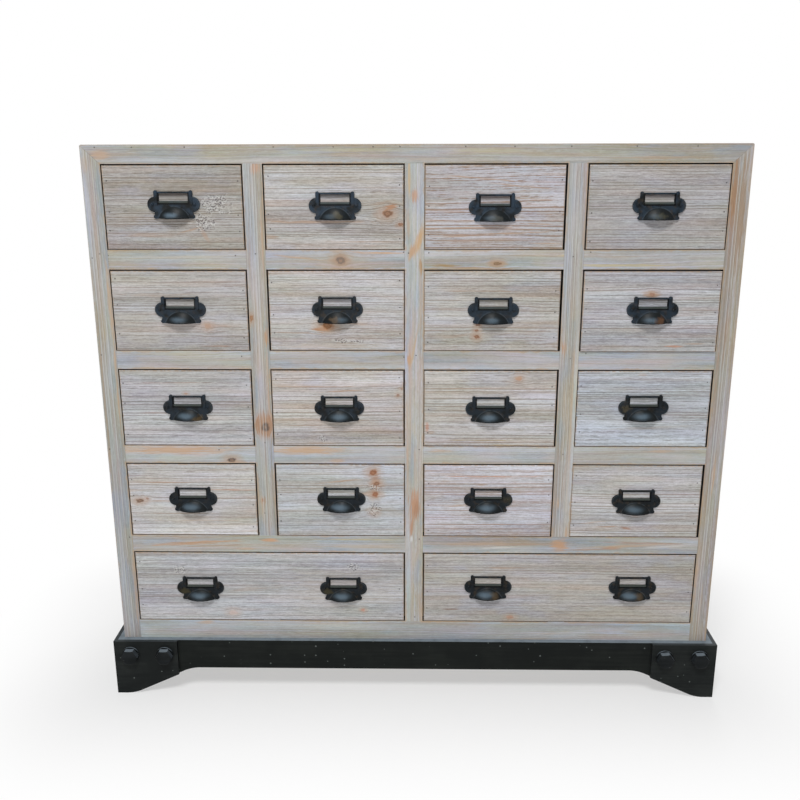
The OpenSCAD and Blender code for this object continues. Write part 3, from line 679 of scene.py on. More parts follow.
drawer_material(
    "drawer_r2c3", 7, "sand", brushed(0.62, 0.3, 0.5, 2.6, 8), 1.02, -0.05,
    knots=[
        (109, 714.5, 3.4, 1.2, knot_brown, 0.8), (107, 693, 4.2, 1.2, knot_brown, 0.9),
        (107, 704, 3.4, 1.2, knot_brown, 0.8)],
    patches=[
        (120, 772, 100, 1.6, 0, orange, 0.7), (200, 700, 50, 6, 0.1, orange, 0.35),
        (70, 694, 40, 4, 0.1, orange, 0.4)])
drawer_material(
    "drawer_r2c4", 8, "lilac", brushed(0.69, 0.25, 0.55, 2.4, 10), 0.91, 0.01,
    knots=[(401, 766.5, 4, 1.6, (146, 112, 92), 0.9)],
    patches=[
        (402, 767, 18, 4, 0, orange, 0.8), (448, 677, 20, 3, 0, (190, 136, 106), 0.8),
        (480, 682, 30, 2, 0, orange, 0.6)])
print("second row dressed")

# %% Third row
drawer_material(
    "drawer_r3c1", 9, "lilac", brushed(0.69, 0.2, 0.6, 2.6), 0.9, 0.02,
    patches=[(-420, 610, 100, 1.6, 0, rust_brown, 0.5), (-460, 555, 50, 1.4, 0, rust_brown, 0.4)],
    knots=[(-402, 590.5, 2.2, 1.6, (170, 128, 108), 0.6)])
drawer_material(
    "drawer_r3c2", 10, "pearl", brushed(0.62, 0.35, 0.6, 2.7), 0.99, 0.0,
    knots=[(-28.5, 588.5, 2.6, 1.2, knot_brown, 0.7), (-22, 600, 2.2, 1.4, knot_brown, 0.5)],
    patches=[
        (-183, 604, 100, 1.8, 0, orange, 0.8), (-125, 596, 50, 2.2, 0.05, orange, 0.9),
        (-200, 533, 50, 1.6, 0, orange, 0.6), (-161, 500, 30, 3, 0, orange, 0.5)],
    flaked=[(-161, 507, 10, 8)])
drawer_material(
    "drawer_r3c3", 11, "sand", brushed(0.62, 0.3, 0.6, 2.9, 7), 1.03, -0.05,
    knots=[(182, 619, 4.6, 1.2, (176, 136, 106), 0.7)],
    patches=[
        (23, 530, 4, 12, 0, (186, 118, 86), 0.7), (30, 520, 10, 3, 0, orange, 0.6),
        (120, 506, 100, 1.6, 0, (168, 142, 82), 0.7), (170, 497, 60, 2, 0, (172, 148, 90), 0.6),
        (90, 600, 60, 1.4, 0, orange, 0.5)])
drawer_material(
    "drawer_r3c4", 12, "lilac", brushed(0.69, 0.15, 0.75, 2.4, 5), 1.0, -0.04,
    patches=[(397, 626, 10, 4, 0, orange, 0.5), (420, 530, 100, 4, 0.05, (170, 156, 146), 0.5)])
print("third row dressed")

# %% Fourth row
drawer_material(
    "drawer_r4c1", 13, "pearl", brushed(0.62, 0.45, 0.65, 2.7), 1.08, -0.02,
    knots=[(-499, 388, 4.4, 1.8, (98, 74, 58), 0.9), (-485, 391, 1.8, 1.6, knot_brown, 0.6)],
    patches=[
        (-330, 410, 70, 1.6, 0, (184, 138, 112), 0.8), (-450, 424, 70, 1.8, 0, orange, 0.8),
        (-450, 388, 50, 2, 0, orange, 0.7), (-380, 350, 110, 1.6, 0, orange, 0.6),
        (-420, 364, 80, 1.6, 0, orange, 0.6)])
drawer_material(
    "drawer_r4c2", 14, "pearl", brushed(0.56, 0.25, 0.7, 2.7), 0.98, -0.07,
    knots=[
        (-74, 444.5, 6.4, 1.2, (132, 86, 60), 1.0), (-68, 424.5, 5.6, 1.2, (126, 92, 72), 1.0),
        (-70, 403.5, 6.2, 1.1, (138, 92, 66), 1.0), (-73, 368, 5, 1.2, (186, 176, 168), 0.8)],
    patches=[
        (-130, 428, 50, 2.6, 0.1, orange, 0.9), (-85, 403.5, 35, 3, 0, orange, 0.8),
        (-70, 425, 10, 30, 0, (168, 128, 104), 0.9)],
    flaked=[(-73, 374, 13, 13), (-72, 415, 14, 6)])
drawer_material(
    "drawer_r4c3", 15, "rose", brushed(0.62, 0.35, 0.75, 2.9, 4), 1.07, -0.06,
    patches=[
        (134, 437.5, 120, 2.4, 0, (188, 144, 120), 0.95), (121, 422, 16, 3, 0, orange, 0.8),
        (60, 442, 50, 2, 0, orange, 0.7), (90, 382, 50, 2.6, 0.1, orange, 0.7),
        (150, 345, 60, 2, 0, orange, 0.6)])
drawer_material(
    "drawer_r4c4", 16, "pearl", brushed(0.69, 0.25, 0.6, 2.4, 8), 1.0, -0.03,
    patches=[
        (352, 341, 30, 2.6, 0.05, orange, 0.9), (385, 338, 14, 2.6, -0.15, rust_brown, 0.8),
        (330, 350, 30, 1.8, 0.1, orange, 0.7)],
    knots=[(401, 366.5, 3.2, 1.3, (160, 150, 110), 0.5)])
print("fourth row dressed")

# %% The wide drawers
drawer_material(
    "drawer_wide_left", 17, "lilac", brushed(0.56, 0.2, 0.6, 2.6), 0.91, 0.01,
    knots=[(-95, 170, 3, 1.3, (186, 128, 112), 0.7), (-340, 163, 5, 1.6, (196, 176, 170), 0.6)],
    patches=[
        (-130, 210, 160, 50, 0, (178, 166, 152), 0.45), (-300, 212, 60, 6, 0.1, orange, 0.35),
        (-40, 255, 30, 12, 0, (140, 138, 140), 0.5)],
    flaked=[(-435, 251, 14, 8), (-111, 257, 14, 10)])
drawer_material(
    "drawer_wide_right", 18, "sand", brushed(0.5, 0.25, 0.35, 2.1, 4), 0.93, -0.05,
    knots=[(181, 157, 4.4, 1.6, (170, 124, 100), 0.6)],
    patches=[
        (170, 258, 50, 3, 0, orange, 0.7), (68, 172.5, 22, 2, 0, knot_brown, 0.7),
        (350, 168, 140, 12, 0, (176, 166, 152), 0.4)])
print("wide drawers dressed")

# %% [markdown]
# ## The face frame
#
# The frame is the same fir with a thicker, greyer wash and less brushing, so its lines are soft. The
# wash is rubbed away at the edges of the openings and along the outer corners, down to tan wood.
# Stiles have upright grain and rails level grain. Boards meet in fine dark joints, and nails show
# along the top. Planed ridges run up the stiles as pale and dark lines.

# %% Group: planed ridge
ridge_line, get, out = new_group("planed_ridge", "Pale Dark", Vector=(0, 0, 0), V=0.0, Width=0.0008)
u, v, w = split(get["Vector"])
sway = noise(join(u * 3.0, 0.0, get["V"]), detail=2)
off = v - get["V"] - (sway - 0.5) * 0.004
share = off / get["Width"]
gaps = fade(noise(join(u * 14, v * 60, w), detail=2), 0.36, 0.5)
feed(out["Pale"], gaps * fade(abs(share), 1.2, 0.4))
feed(out["Dark"], gaps * fade(abs(share - 1.9), 1.1, 0.4))
print("group", ridge_line.name)

# %% Tints of the frame
frame_wash = dict(Spacing=0.0046, Wander=0.014, Lines=0.30, Warmth=0.4, Lime=0.6, Fine=0.45, Hue=0.5,
                  Wood=colour(176, 170, 160), Line=colour(148, 139, 130), White=colour(184, 186, 188),
                  Glow=colour(180, 158, 134), Uneven=0.55,
                  Mottle=colour(162, 169, 176), Mottling=0.8)
ridge_pale = colour(196, 196, 194)
ridge_dark = colour(128, 118, 108)
joint_dark = colour(96, 86, 76)
board_relief, board_roughness, edge_wear = 0.00035, 0.7, 0.55
print("frame tint set")


# %% Recipe: a board of the frame
def rubbed_edges(place, tone):
    """Wears the wash round the openings and along the outline."""
    edges = use(face_edges, Vector=place)
    chips = noise(place, scale=70, detail=4, roughness=0.65)
    wide_chips = noise(place, scale=9, detail=2)
    least_reach, most_reach = 0.0004, 0.0056
    reach = fade((chips + wide_chips) * 0.5, 0.44, 0.68, least_reach, most_reach)
    inner = fade(edges["Opening"] / reach, 1.2, 0.3)
    outer = fade(edges["Outline"] / reach, 1.0, 0.4)
    worn = larger(inner, outer * 0.6)
    return blend(worn * edge_wear, tone, tan), edges


def frame_board(name, seed, upright, grain, light, warm, ridges=(), joints=False, mitred=False,
                knots=(), patches=(), nails=()):
    """A board of the frame. Its marks are noted as (x, z, ...) in millimetres, like a drawer's."""
    material, place, shader = new_material(name + "_wash")
    x, y, z = split(place)
    behind = y - face_y
    vector = join(z, x + behind, 0.0) if upright else join(x, z + behind, 0.0)
    settings = {**frame_wash, **grain, "Seed": seed, "Wash": wash(light, warm)}
    tone, height = washed_board(
        vector, settings, in_metres(knots, 3, upright), in_metres(patches, 4, upright),
        nails=in_metres(nails, 2, upright), broken=2.1)
    for across, width in in_metres(ridges, 2):
        found = use(ridge_line, Vector=vector, V=across, Width=width)
        tone = blend(found["Pale"] * 0.45, tone, ridge_pale)
        tone = blend(found["Dark"] * 0.38, tone, ridge_dark)
    tone, edges = rubbed_edges(place, tone)
    if joints:
        tone = blend(fade(edges["Joint"], 0.0009, 0.0002) * 0.5, tone, joint_dark)
    if mitred:
        tone = blend(fade(edges["Mitre"], 0.0008, 0.0002) * 0.4, tone, joint_dark)
    # Painted shade: the sides of the openings just behind the face are near black, to darken the gaps.
    deep = fade(behind, 0.0003, 0.001) * fade(edges["Opening"], 0.0012, 0.0004)
    surface(shader, blend(deep, tone, gap_shade), board_roughness, height, board_relief)
    dress(name, material)


print("recipe ready: frame board")

# %% Rails
pale_orange = colour(184, 154, 126)
brown_band = colour(152, 124, 98)
top_nails = [(x, 1008.3) for x in (-525, -464, -377, -231, -133, -68, -24, 83, 163, 255, 361, 459)]
frame_board(
    "top_rail", 21, False, dict(Wood=colour(170, 166, 152), Lines=0.3), 0.8, 0.01, mitred=True,
    nails=top_nails,
    patches=[
        (-517, 996, 22, 12, 0, pale_orange, 0.8), (-120, 1004, 100, 5, 0, (176, 168, 134), 0.6),
        (120, 1002, 80, 5, 0, (178, 170, 138), 0.6), (400, 990, 100, 4, 0, pale_orange, 0.5),
        (20, 988, 50, 5, 0, pale_orange, 0.4)])
frame_board(
    "short_rails", 22, False, dict(Mottle=colour(160, 166, 172)), 0.89, -0.02, joints=True,
    knots=[
        (-124, 824, 7.4, 1.2, (112, 98, 88), 0.9), (139, 818.5, 3.6, 2.0, (112, 90, 64), 0.9),
        (-327, 467.5, 5.2, 1.7, (84, 76, 72), 1.0)],
    patches=[
        (-124, 824, 22, 6, 0, brown_band, 0.6), (-200, 829, 60, 2.5, -0.1, pale_orange, 0.7),
        (-60, 836.5, 70, 2.4, 0, (190, 150, 108), 1.0), (51, 814.5, 30, 3.4, 0, (150, 122, 78), 1.1),
        (110, 811.5, 100, 2, 0, brown_band, 0.8), (340, 815.5, 130, 3, 0, (186, 172, 132), 0.9),
        (260, 832, 30, 2.4, 0, (192, 176, 136), 0.8), (-400, 829, 110, 3.5, 0.01, (184, 172, 144), 0.6),
        (139, 818.5, 20, 4.5, 0, (160, 136, 104), 0.9), (-430, 486, 140, 11, 0, (186, 158, 134), 1.25),
        (-190, 486, 95, 10, 0, (186, 158, 132), 1.2), (-138, 466, 22, 4.5, 0, pale_orange, 0.8),
        (46, 485, 30, 4.5, 0, pale_orange, 0.8), (437, 486, 35, 4, 0, pale_orange, 0.7),
        (-440, 662, 100, 3, 0, (176, 166, 132), 0.5)],
    nails=[
        (-302, 832), (-18.5, 837.5), (-518, 832), (-300, 658), (-252, 655), (-18, 657), (-349, 486.5),
        (24, 836.5), (295, 837.5), (296, 664), (270, 489)])
frame_board(
    "long_rails", 23, False, dict(Warmth=0.5), 0.89, -0.03,
    patches=[
        (-400, 305.5, 120, 4, 0.06, (180, 144, 114), 1.1), (-360, 300, 100, 2, 0.05, (156, 132, 110), 0.7),
        (-266, 311.5, 22, 5, 0, (192, 150, 116), 1.1), (-100, 313.5, 100, 2.2, 0, (190, 176, 140), 0.9),
        (-308, 294, 22, 3.5, 0, pale_orange, 0.7), (268, 304, 20, 16, 0, (182, 146, 116), 1.2),
        (362, 299, 24, 4, 0.05, (166, 128, 102), 1.0), (200, 305, 70, 3, 0.02, (160, 136, 118), 0.9),
        (420, 309, 100, 2.6, -0.02, (158, 130, 110), 0.9), (330, 296, 80, 2.2, 0.03, (160, 134, 114), 0.8),
        (160, 299, 50, 2.8, 0.05, (200, 198, 190), 0.8), (460, 302, 50, 3, 0.08, (196, 194, 190), 0.8),
        (100, 306, 120, 4, 0.01, (180, 152, 126), 0.6), (390, 303, 110, 4, 0.05, pale_orange, 0.7),
        (-100, 300, 100, 5, 0, (182, 160, 124), 0.5), (50, 300, 30, 8, 0, (150, 148, 148), 0.5)])
frame_board(
    "bottom_rail", 24, False, dict(Wood=colour(160, 157, 152), White=colour(174, 176, 176), Warmth=0.3),
    1.1, -0.04,
    patches=[
        (-391, 142, 22, 4.5, 0, pale_orange, 0.9), (68, 147, 90, 2.5, 0, pale_orange, 0.7),
        (-260, 146, 120, 2, 0, pale_orange, 0.5), (380, 146, 130, 2, 0, pale_orange, 0.5)])
print("rails dressed")

# %% Stiles
frame_board(
    "left_stile", 25, True, dict(Wood=colour(176, 172, 162)), 0.8, -0.02,
    ridges=[(-543.5, 0.8), (-538.5, 0.7), (-531.5, 0.9)], mitred=True,
    patches=[
        (-522.5, 750, 100, 4, 0, pale_orange, 0.9), (-545, 980, 20, 10, 0, pale_orange, 0.4),
        (-522, 600, 120, 2.8, 0, pale_orange, 0.8), (-546.5, 600, 250, 2.2, 0, brown_band, 0.6),
        (-522, 200, 100, 3, 0, pale_orange, 0.6), (-534, 500, 200, 2, 0, brown_band, 0.4)],
    nails=[(-545, 828), (-545, 660), (-546, 487), (-524, 316), (-532, 835)])
frame_board(
    "right_stile", 26, True, dict(Wood=colour(170, 160, 148), Mottle=colour(166, 164, 160)), 0.79, 0.01,
    ridges=[(529, 0.8), (533.5, 0.8), (539.5, 0.7)], mitred=True,
    patches=[
        (524.5, 925, 85, 9.5, 0, (150, 120, 94), 1.4), (538, 900, 130, 11, 0, (148, 126, 104), 1.1),
        (532, 700, 90, 4, 0, brown_band, 0.7), (535, 440, 50, 5, 0, pale_orange, 0.8),
        (523, 600, 100, 3, 0, brown_band, 0.6), (522, 240, 120, 3, 0, pale_orange, 0.6),
        (534, 190, 50, 3, 0, pale_orange, 0.5)])
frame_board(
    "centre_stile", 27, True, dict(Warmth=0.6, Wood=colour(184, 174, 162)), 0.96, -0.03,
    patches=[
        (0, 930, 14, 8.5, 0, (182, 142, 114), 1.0), (-9, 955, 40, 3.5, 0, (186, 162, 128), 1.0),
        (8, 858, 34, 7.5, 0.22, (188, 156, 120), 1.2), (-4, 838, 18, 8, 0.25, (186, 150, 116), 1.1),
        (11, 812, 18, 4.5, 0, (158, 124, 80), 1.0), (-9, 652, 12, 6, 0, (186, 148, 116), 1.1),
        (0, 676, 45, 3.2, 0.18, (186, 160, 128), 0.9), (-10, 882, 30, 4, 0, pale_orange, 0.7),
        (-8, 660, 50, 4, 0, pale_orange, 0.6), (1, 383, 40, 15, 0.05, (178, 138, 110), 1.2),
        (4, 372, 22, 8, 0.1, (162, 122, 94), 0.9), (-4, 340, 26, 6, 0.08, (176, 136, 108), 1.1),
        (-4, 315.5, 8, 3, 0, (204, 206, 206), 0.9), (10, 760, 100, 3, 0, pale_orange, 0.5),
        (-12, 500, 120, 3, 0, pale_orange, 0.6), (2, 450, 60, 4, 0, pale_orange, 0.5)],
    nails=[(2, 156), (-10, 836), (9, 488), (3, 660), (10, 315)])
frame_board(
    "divider_stiles", 28, True, dict(Warmth=0.4), 0.85, -0.01,
    ridges=[(-268, 0.9), (-263.5, 0.7), (-273.5, 0.8), (264, 0.8), (270, 0.8), (258, 0.7)],
    knots=[
        (-265, 530, 8.8, 1.1, (92, 76, 66), 1.0), (-280, 725, 3.6, 1.8, (140, 98, 62), 0.9),
        (-274, 390, 2.8, 1.3, (150, 110, 80), 0.7)],
    patches=[
        (-266, 535, 30, 16, 0, (162, 116, 80), 1.2), (-266, 531, 20, 12, 0, (138, 98, 68), 1.2),
        (-264, 975, 13, 12, 0, (184, 150, 128), 1.1), (-256.5, 690, 22, 4.5, 0, (178, 134, 96), 1.1),
        (-255.5, 860, 70, 2.6, 0, pale_orange, 0.7), (-256, 600, 140, 2.2, 0, pale_orange, 0.6),
        (258, 674, 16, 5.2, 0, (184, 138, 100), 0.9), (278, 327, 22, 4.5, 0, (180, 146, 114), 0.8),
        (260, 385, 18, 3.2, 0, pale_orange, 0.8), (276, 550, 200, 2.5, 0, pale_orange, 0.5),
        (-274, 375, 30, 4, 0, pale_orange, 0.5)],
    nails=[(-268, 835), (-266, 500), (-272, 365), (266, 830), (270, 655), (265, 480), (-264, 320)])
print("stiles dressed")

# %% [markdown]
# ## Sides, top and the wood inside
#
# The sides and the top share the wash of the frame, with calmer lines over wide boards. Inside,
# the partitions, shelves, runners and cleats are raw fir, and the back is a thin sheet of plywood
# with its long open figure. The runners shine a little where the drawers have polished them. The
# marks of the sides and the top are in metres, because they stand at round places.

# %% Sides and top
for name, seed, upright in (("left_side", 31, True), ("right_side", 32, True), ("top_board", 33, False)):
    material, place, shader = new_material(name + "_wash")
    x, y, z = split(place)
    vector = join(z, y, x * 0.05) if upright else join(x, y, z * 0.05)
    settings = dict(
        frame_wash, Seed=seed, Spacing=0.0042, Lines=0.42, Warmth=0.35, Lime=0.7, Hue=0.28, Fine=0.8)
    low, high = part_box(name)
    if upright:
        spots = [
            (low.z + 0.62, 0.06, 0.006, 1.4, knot_brown, 0.7),
            (low.z + 0.25, -0.09, 0.004, 1.6, rust_brown, 0.7)]
        rubbed = [
            (low.z + 0.4, -0.14, 0.2, 0.006, 0.01, pale_orange, 0.6),
            (low.z + 0.7, 0.12, 0.16, 0.008, 0, pale_orange, 0.5)]
        nails = [(low.z + 0.02, place_y) for place_y in (-0.12, -0.02, 0.08, 0.17)]
    else:
        spots = [(-0.32, 0.05, 0.006, 1.6, knot_brown, 0.7), (0.21, -0.06, 0.005, 1.5, knot_brown, 0.7)]
        rubbed = [
            (-0.1, -0.1, 0.3, 0.008, 0.01, pale_orange, 0.5), (0.36, 0.1, 0.2, 0.01, 0, pale_orange, 0.5)]
        nails = [(along_x, row_y) for along_x in (-0.5, -0.25, 0.0, 0.25, 0.5) for row_y in (-0.145, 0.19)]
    tone, height = washed_board(vector, settings, knots=spots, patches=rubbed, nails=nails)
    if upright:
        edge = use(border, Vector=join(y, z, 0.0), Low_U=low.y, High_U=high.y, Low_V=low.z, High_V=high.z)
    else:
        edge = use(border, Vector=join(x, y, 0.0), Low_U=low.x, High_U=high.x, Low_V=low.y, High_V=high.y)
    chips = noise(place, scale=60, detail=4, roughness=0.65)
    reach = fade(chips, 0.42, 0.66, 0.0006, 0.006)
    worn = fade(edge["Distance"] / reach, 1.2, 0.4)
    surface(shader, blend(worn * 0.7, tone, tan), board_roughness, height, board_relief)
    dress(name, material)
print("sides and top dressed")


# %% Raw wood inside
raw_relief = 0.0003


def raw_board(name, along, seed, rough=0.75, **changes):
    """Raw fir with its grain along one of the axes x, y or z."""
    material, place, shader = new_material(name + "_raw")
    x, y, z = split(place)
    vector = {"x": join(x, y + z, 0.0), "y": join(y, x + z, 0.0), "z": join(z, x + y, 0.0)}[along]
    wood = use(brushed_fir, Vector=vector, **dict(raw_fir, Seed=seed, **changes))
    smudge = noise(place, scale=6, detail=3)
    tone = blend(fade(smudge, 0.45, 0.75, 0.0, 0.35), wood["Color"], colour(166, 142, 110))
    surface(shader, tone, rough, wood["Height"], raw_relief)
    dress(name, material)


raw_board("bottom_board", "x", 41)
raw_board("lower_shelves", "x", 42)
raw_board("centre_partition", "z", 43)
raw_board("quarter_partitions", "z", 44)
raw_board("drawer_runners", "y", 45, rough=0.5, Lime=0.1, Wood=colour(190, 160, 118))
raw_board("drawer_guides", "y", 46, rough=0.55, Wood=colour(194, 166, 124))
raw_board(
    "base_blocks", "z", 47, Wood=colour(46, 42, 38), Line=colour(34, 31, 28), White=colour(56, 54, 50),
    Glow=colour(58, 50, 42))
raw_board("back_panel", "z", 48, Spacing=0.016, Wander=0.05, Lines=0.3, Warmth=0.4,
          Wood=colour(198, 170, 130), Line=colour(170, 132, 92))
print("inner wood dressed")

# %% [markdown]
# ## Waxed cast iron
#
# Each pull is one casting: a plate with round lobes, a frame for a card and a hollow cup. The iron
# was blackened and waxed, so it is dark and softly glossy, with a bluish bloom, brown where the
# wax is thin, and paler along the lobes' rims where fingers rub. Light is painted on it as well: the
# cup is painted near black as a painted dark reflection, with a painted highlight low on it; the ring
# along the cup's arch and the low bar of the card frame are painted highlights; and the step round
# the card window is painted black as painted shade. A group makes these on local coordinates,
# measured from the middle of the pull's lower edge, so that every pull can share it.

# %% Group: waxed iron
waxed_iron, get, out = new_group(
    "waxed_iron", "Color Roughness Height", Vector=(0, 0, 0), Seed=0.0, Bloom=0.5, Brown=0.3, Rust_U=0.0,
    Rust_V=0.01, Rust=0.0, Rust_Color=colour(150, 98, 48), Gleam=0.5, Gleam_U=-0.003, Gleam_V=0.0058,
    Gleam_Size=0.0074)
u, v, w = split(get["Vector"])
moved = join(u + get["Seed"], v, w)
clouds = noise(moved, scale=70, detail=3)
pits = noise(moved, scale=900, detail=2)
black = blend(fade(clouds, 0.3, 0.6) * get["Bloom"], colour(14, 17, 18), colour(42, 55, 68))
brown_noise = noise(join(u + 0.7, v, get["Seed"]), scale=110, detail=3)
browned = blend(fade(brown_noise, 0.5, 0.66) * get["Brown"], black, colour(62, 52, 40))
from_lobe = distance(abs(u) - lobe_x, v - lobe_z)
on_lobe = abs(u) > lobe_x
rim = fade(abs(from_lobe - (lobe_radius - 0.0012)), 0.0012, 0.0002) * on_lobe
from_cup = distance(u, v + arch_drop)
arch = fade(abs(from_cup - (arch_radius + 0.001)), 0.0014, 0.0003)
# The lobes' rims are paler from wear; the ring along the cup's arch is a painted highlight.
rubbed = larger(rim, arch) * fade(clouds, 0.3, 0.6)
paler = blend(rubbed * 0.3, browned, colour(76, 84, 88))
# Painted reflection: the cup is painted near black, a dark reflection on its glossy dome.
on_cup = fade(from_cup, arch_radius + 0.0004, arch_radius - 0.0006)
painted_dark_cup = blend(on_cup * 0.9, paler, colour(15, 19, 20))
# Painted highlight: a soft bluish patch low on the cup, and a little smoother there.
painted_highlight_u = (u - get["Gleam U"]) / 2.6
painted_highlight_v = v - get["Gleam V"]
painted_highlight_far = distance(painted_highlight_u, painted_highlight_v) + (clouds - 0.5) * 0.004
painted_highlight_near = 1.2 - painted_highlight_far / get["Gleam Size"]
painted_highlight = maths("POWER", fade(painted_highlight_near, 0.2, 1.1), 1.7) * on_cup * get["Gleam"]
highlighted = blend(painted_highlight, painted_dark_cup, colour(104, 122, 136))
# Painted shade: the step round the card window is painted near black.
beside = abs(u) - window_half
under = step_top - v
outside = larger(beside, under)
step_shade = fade(outside, step_width + 0.0003, step_width - 0.0003) * fade(outside, -0.0003, 0.0002)
step_shade *= fade(v, step_top + window_high + 0.0013, step_top + window_high + 0.0003)
from_rust = distance((u - get["Rust U"]) * 0.7, v - get["Rust V"])
rust_mask = fade(from_rust + (brown_noise - 0.5) * 0.02, 0.0085, 0.002)
rusted = blend(rust_mask * get["Rust"], highlighted, get["Rust Color"])
# Painted highlight: the low bar of the card frame is painted a paler grey-green.
lit_bar = fade(beside, step_width, step_width - 0.0008) * fade(v, step_top, step_top + 0.0006)
lit_bar *= fade(v, step_top + 0.0042, step_top + 0.0036)
bar_lit = blend(lit_bar * 0.5, rusted, colour(82, 88, 82))
feed(out["Color"], blend(step_shade * 0.92, bar_lit, colour(8, 9, 10)))
feed(out["Roughness"], clouds * 0.22 + 0.3 - painted_highlight * 0.12)
feed(out["Height"], pits * 0.4 + clouds)
print("group", waxed_iron.name, "has", len(waxed_iron.nodes), "nodes")


# %% Recipe: the pulls of one drawer
# Height and size of the painted highlight on the cup, in millimetres, by row.
painted_highlights = {"r1": (5.8, 7.4), "r2": (6.6, 8.0), "r3": (8.6, 9.6)}
lowest_painted_highlight = (9.4, 10.2)
specular_on_iron, iron_relief, pair_shift = 0.12, 0.00012, 0.1


def pull_material(seed, name, bloom, brown, painted_highlight, rust=(0, 10, 0), rust_tone=(150, 98, 48)):
    """The iron of a drawer's pulls. The painted highlight is (u, strength) and rust (u, v, strength).
    The painted highlight of a lower row sits higher and is larger. The right one of a pair gets
    clouds of its own by a shift."""
    low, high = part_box(name)
    material, place, shader = new_material(name + "_iron")
    x, y, z = split(place)
    left_middle, right_middle = low.x + pull_half_width, high.x - pull_half_width
    nearer_right = x > (low.x + high.x) / 2
    middle = nearer_right * (right_middle - left_middle) + left_middle
    local = join(x - middle, z - low.z, y + nearer_right * pair_shift)
    painted_highlight_v, painted_highlight_size = painted_highlights.get(name[5:7], lowest_painted_highlight)
    iron = use(
        waxed_iron, Vector=local, Seed=seed, Bloom=bloom, Brown=brown, Rust_U=rust[0] / 1000,
        Rust_V=rust[1] / 1000, Rust=rust[2], Rust_Color=colour(*rust_tone), Gleam_U=painted_highlight[0] / 1000,
        Gleam=painted_highlight[1], Gleam_V=painted_highlight_v / 1000, Gleam_Size=painted_highlight_size / 1000)
    dust = noise(place, scale=420, detail=3)
    lying = fade(facing(place)[2], 0.55, 0.95) * fade(dust, 0.42, 0.7)
    dusty = blend(lying * 0.12, iron["Color"], colour(110, 118, 126))
    shader.inputs["Specular IOR Level"].default_value = specular_on_iron
    surface(shader, dusty, iron["Roughness"], iron["Height"], iron_relief)
    dress(name, material)


print("recipe ready: pulls")

# %% Twenty pulls: bloom, brown, painted highlight, rust and the colour of rust, with lengths in millimetres
# Bloom is the iron's bluish bloom and also painted light: strongest in the first row, weakest at the
# bottom, as the upper pulls took more light. In the first row, the greenish tan and grey given as rust low
# on the cup are a painted reflection of the wood below.
for number, pull in enumerate((
        ("pull_r1c1", 0.9, 0.1, (-4, 0.7)),
        ("pull_r1c2", 0.9, 0.3, (-8, 0.3), (3, 6, 0.6), (80, 76, 60)),
        ("pull_r1c3", 0.9, 0.2, (-6, 0.4), (2, 5, 0.5), (84, 84, 78)),
        ("pull_r1c4", 0.7, 0.4, (-6, 0.3), (2, 6, 0.5), (76, 74, 60)),
        ("pull_r2c1", 0.6, 0.2, (-3, 0.5)),
        ("pull_r2c2", 0.4, 0.5, (6, 0.4), (-4, 6, 0.6), (96, 80, 62)),
        ("pull_r2c3", 0.6, 0.2, (-2, 0.5)),
        ("pull_r2c4", 0.6, 0.3, (-4, 0.5), (14, 5, 0.7), (98, 70, 50)),
        ("pull_r3c1", 0.4, 0.2, (-3, 0.6), (20, 3, 0.5), (96, 78, 50)),
        ("pull_r3c2", 0.5, 0.2, (0, 0.6)),
        ("pull_r3c3", 0.3, 0.3, (-3, 0.6)),
        ("pull_r3c4", 0.3, 0.3, (-3, 0.6), (-31, 23, 0.8), (70, 64, 50)),
        ("pull_r4c1", 0.2, 0.2, (-4, 0.55)),
        ("pull_r4c2", 0.2, 0.2, (-3, 0.65)),
        ("pull_r4c3", 0.2, 0.4, (-3, 0.6), (33, 24, 0.5), (70, 66, 50)),
        ("pull_r4c4", 0.15, 0.4, (-4, 0.5)),
        ("pulls_wide_left", 0.15, 0.4, (-3, 0.6), (-30, 18, 0.6), (66, 60, 38)),
        ("pulls_wide_right", 0.15, 0.4, (-5, 0.6), (12, 6, 0.5), (96, 80, 58))), 1):
    pull_material(number + 0.1, *pull)
print("pulls dressed")

# %% [markdown]
# ## Black base, steel corners and bolts
#
# The skirts are painted black, satin and a little uneven, and the corners are plates of blackened
# steel held by hexagonal bolts. Dust lies on every ledge, and pale specks of lint cling to the faces.
# The grey-blue strip along the top of the skirt and the pale top facets of the bolts are that dust
# layer made thick, as a painted highlight. One group makes the dust and this highlight: more of it
# where the surface looks up, and a speck in a few cells of a fine mosaic.

# %% Group: dust, painted highlight and lint
dust_highlight_group, get, out = new_group("dust_highlight_and_lint", "Lying Lint", Vector=(0, 0, 0), Up=0.0, Specks=0.5)
settled = noise(get["Vector"], scale=45, detail=4, roughness=0.6)
feed(out["Lying"], fade(get["Up"], 0.3, 0.9) * fade(settled, 0.25, 0.6, 0.7, 1.0))
cells_per_metre = 92
cells = node("TexVoronoi", "Distance", dict(Vector=get["Vector"], Scale=cells_per_metre))
chance = split(Term(cells.socket.node.outputs["Color"]))[0]
size = fade(chance, 0.6, 1.0, 0.0, 0.15)
feed(out["Lint"], get["Specks"] * fade(cells - size, 0.02, -0.03))
print("group", dust_highlight_group.name)

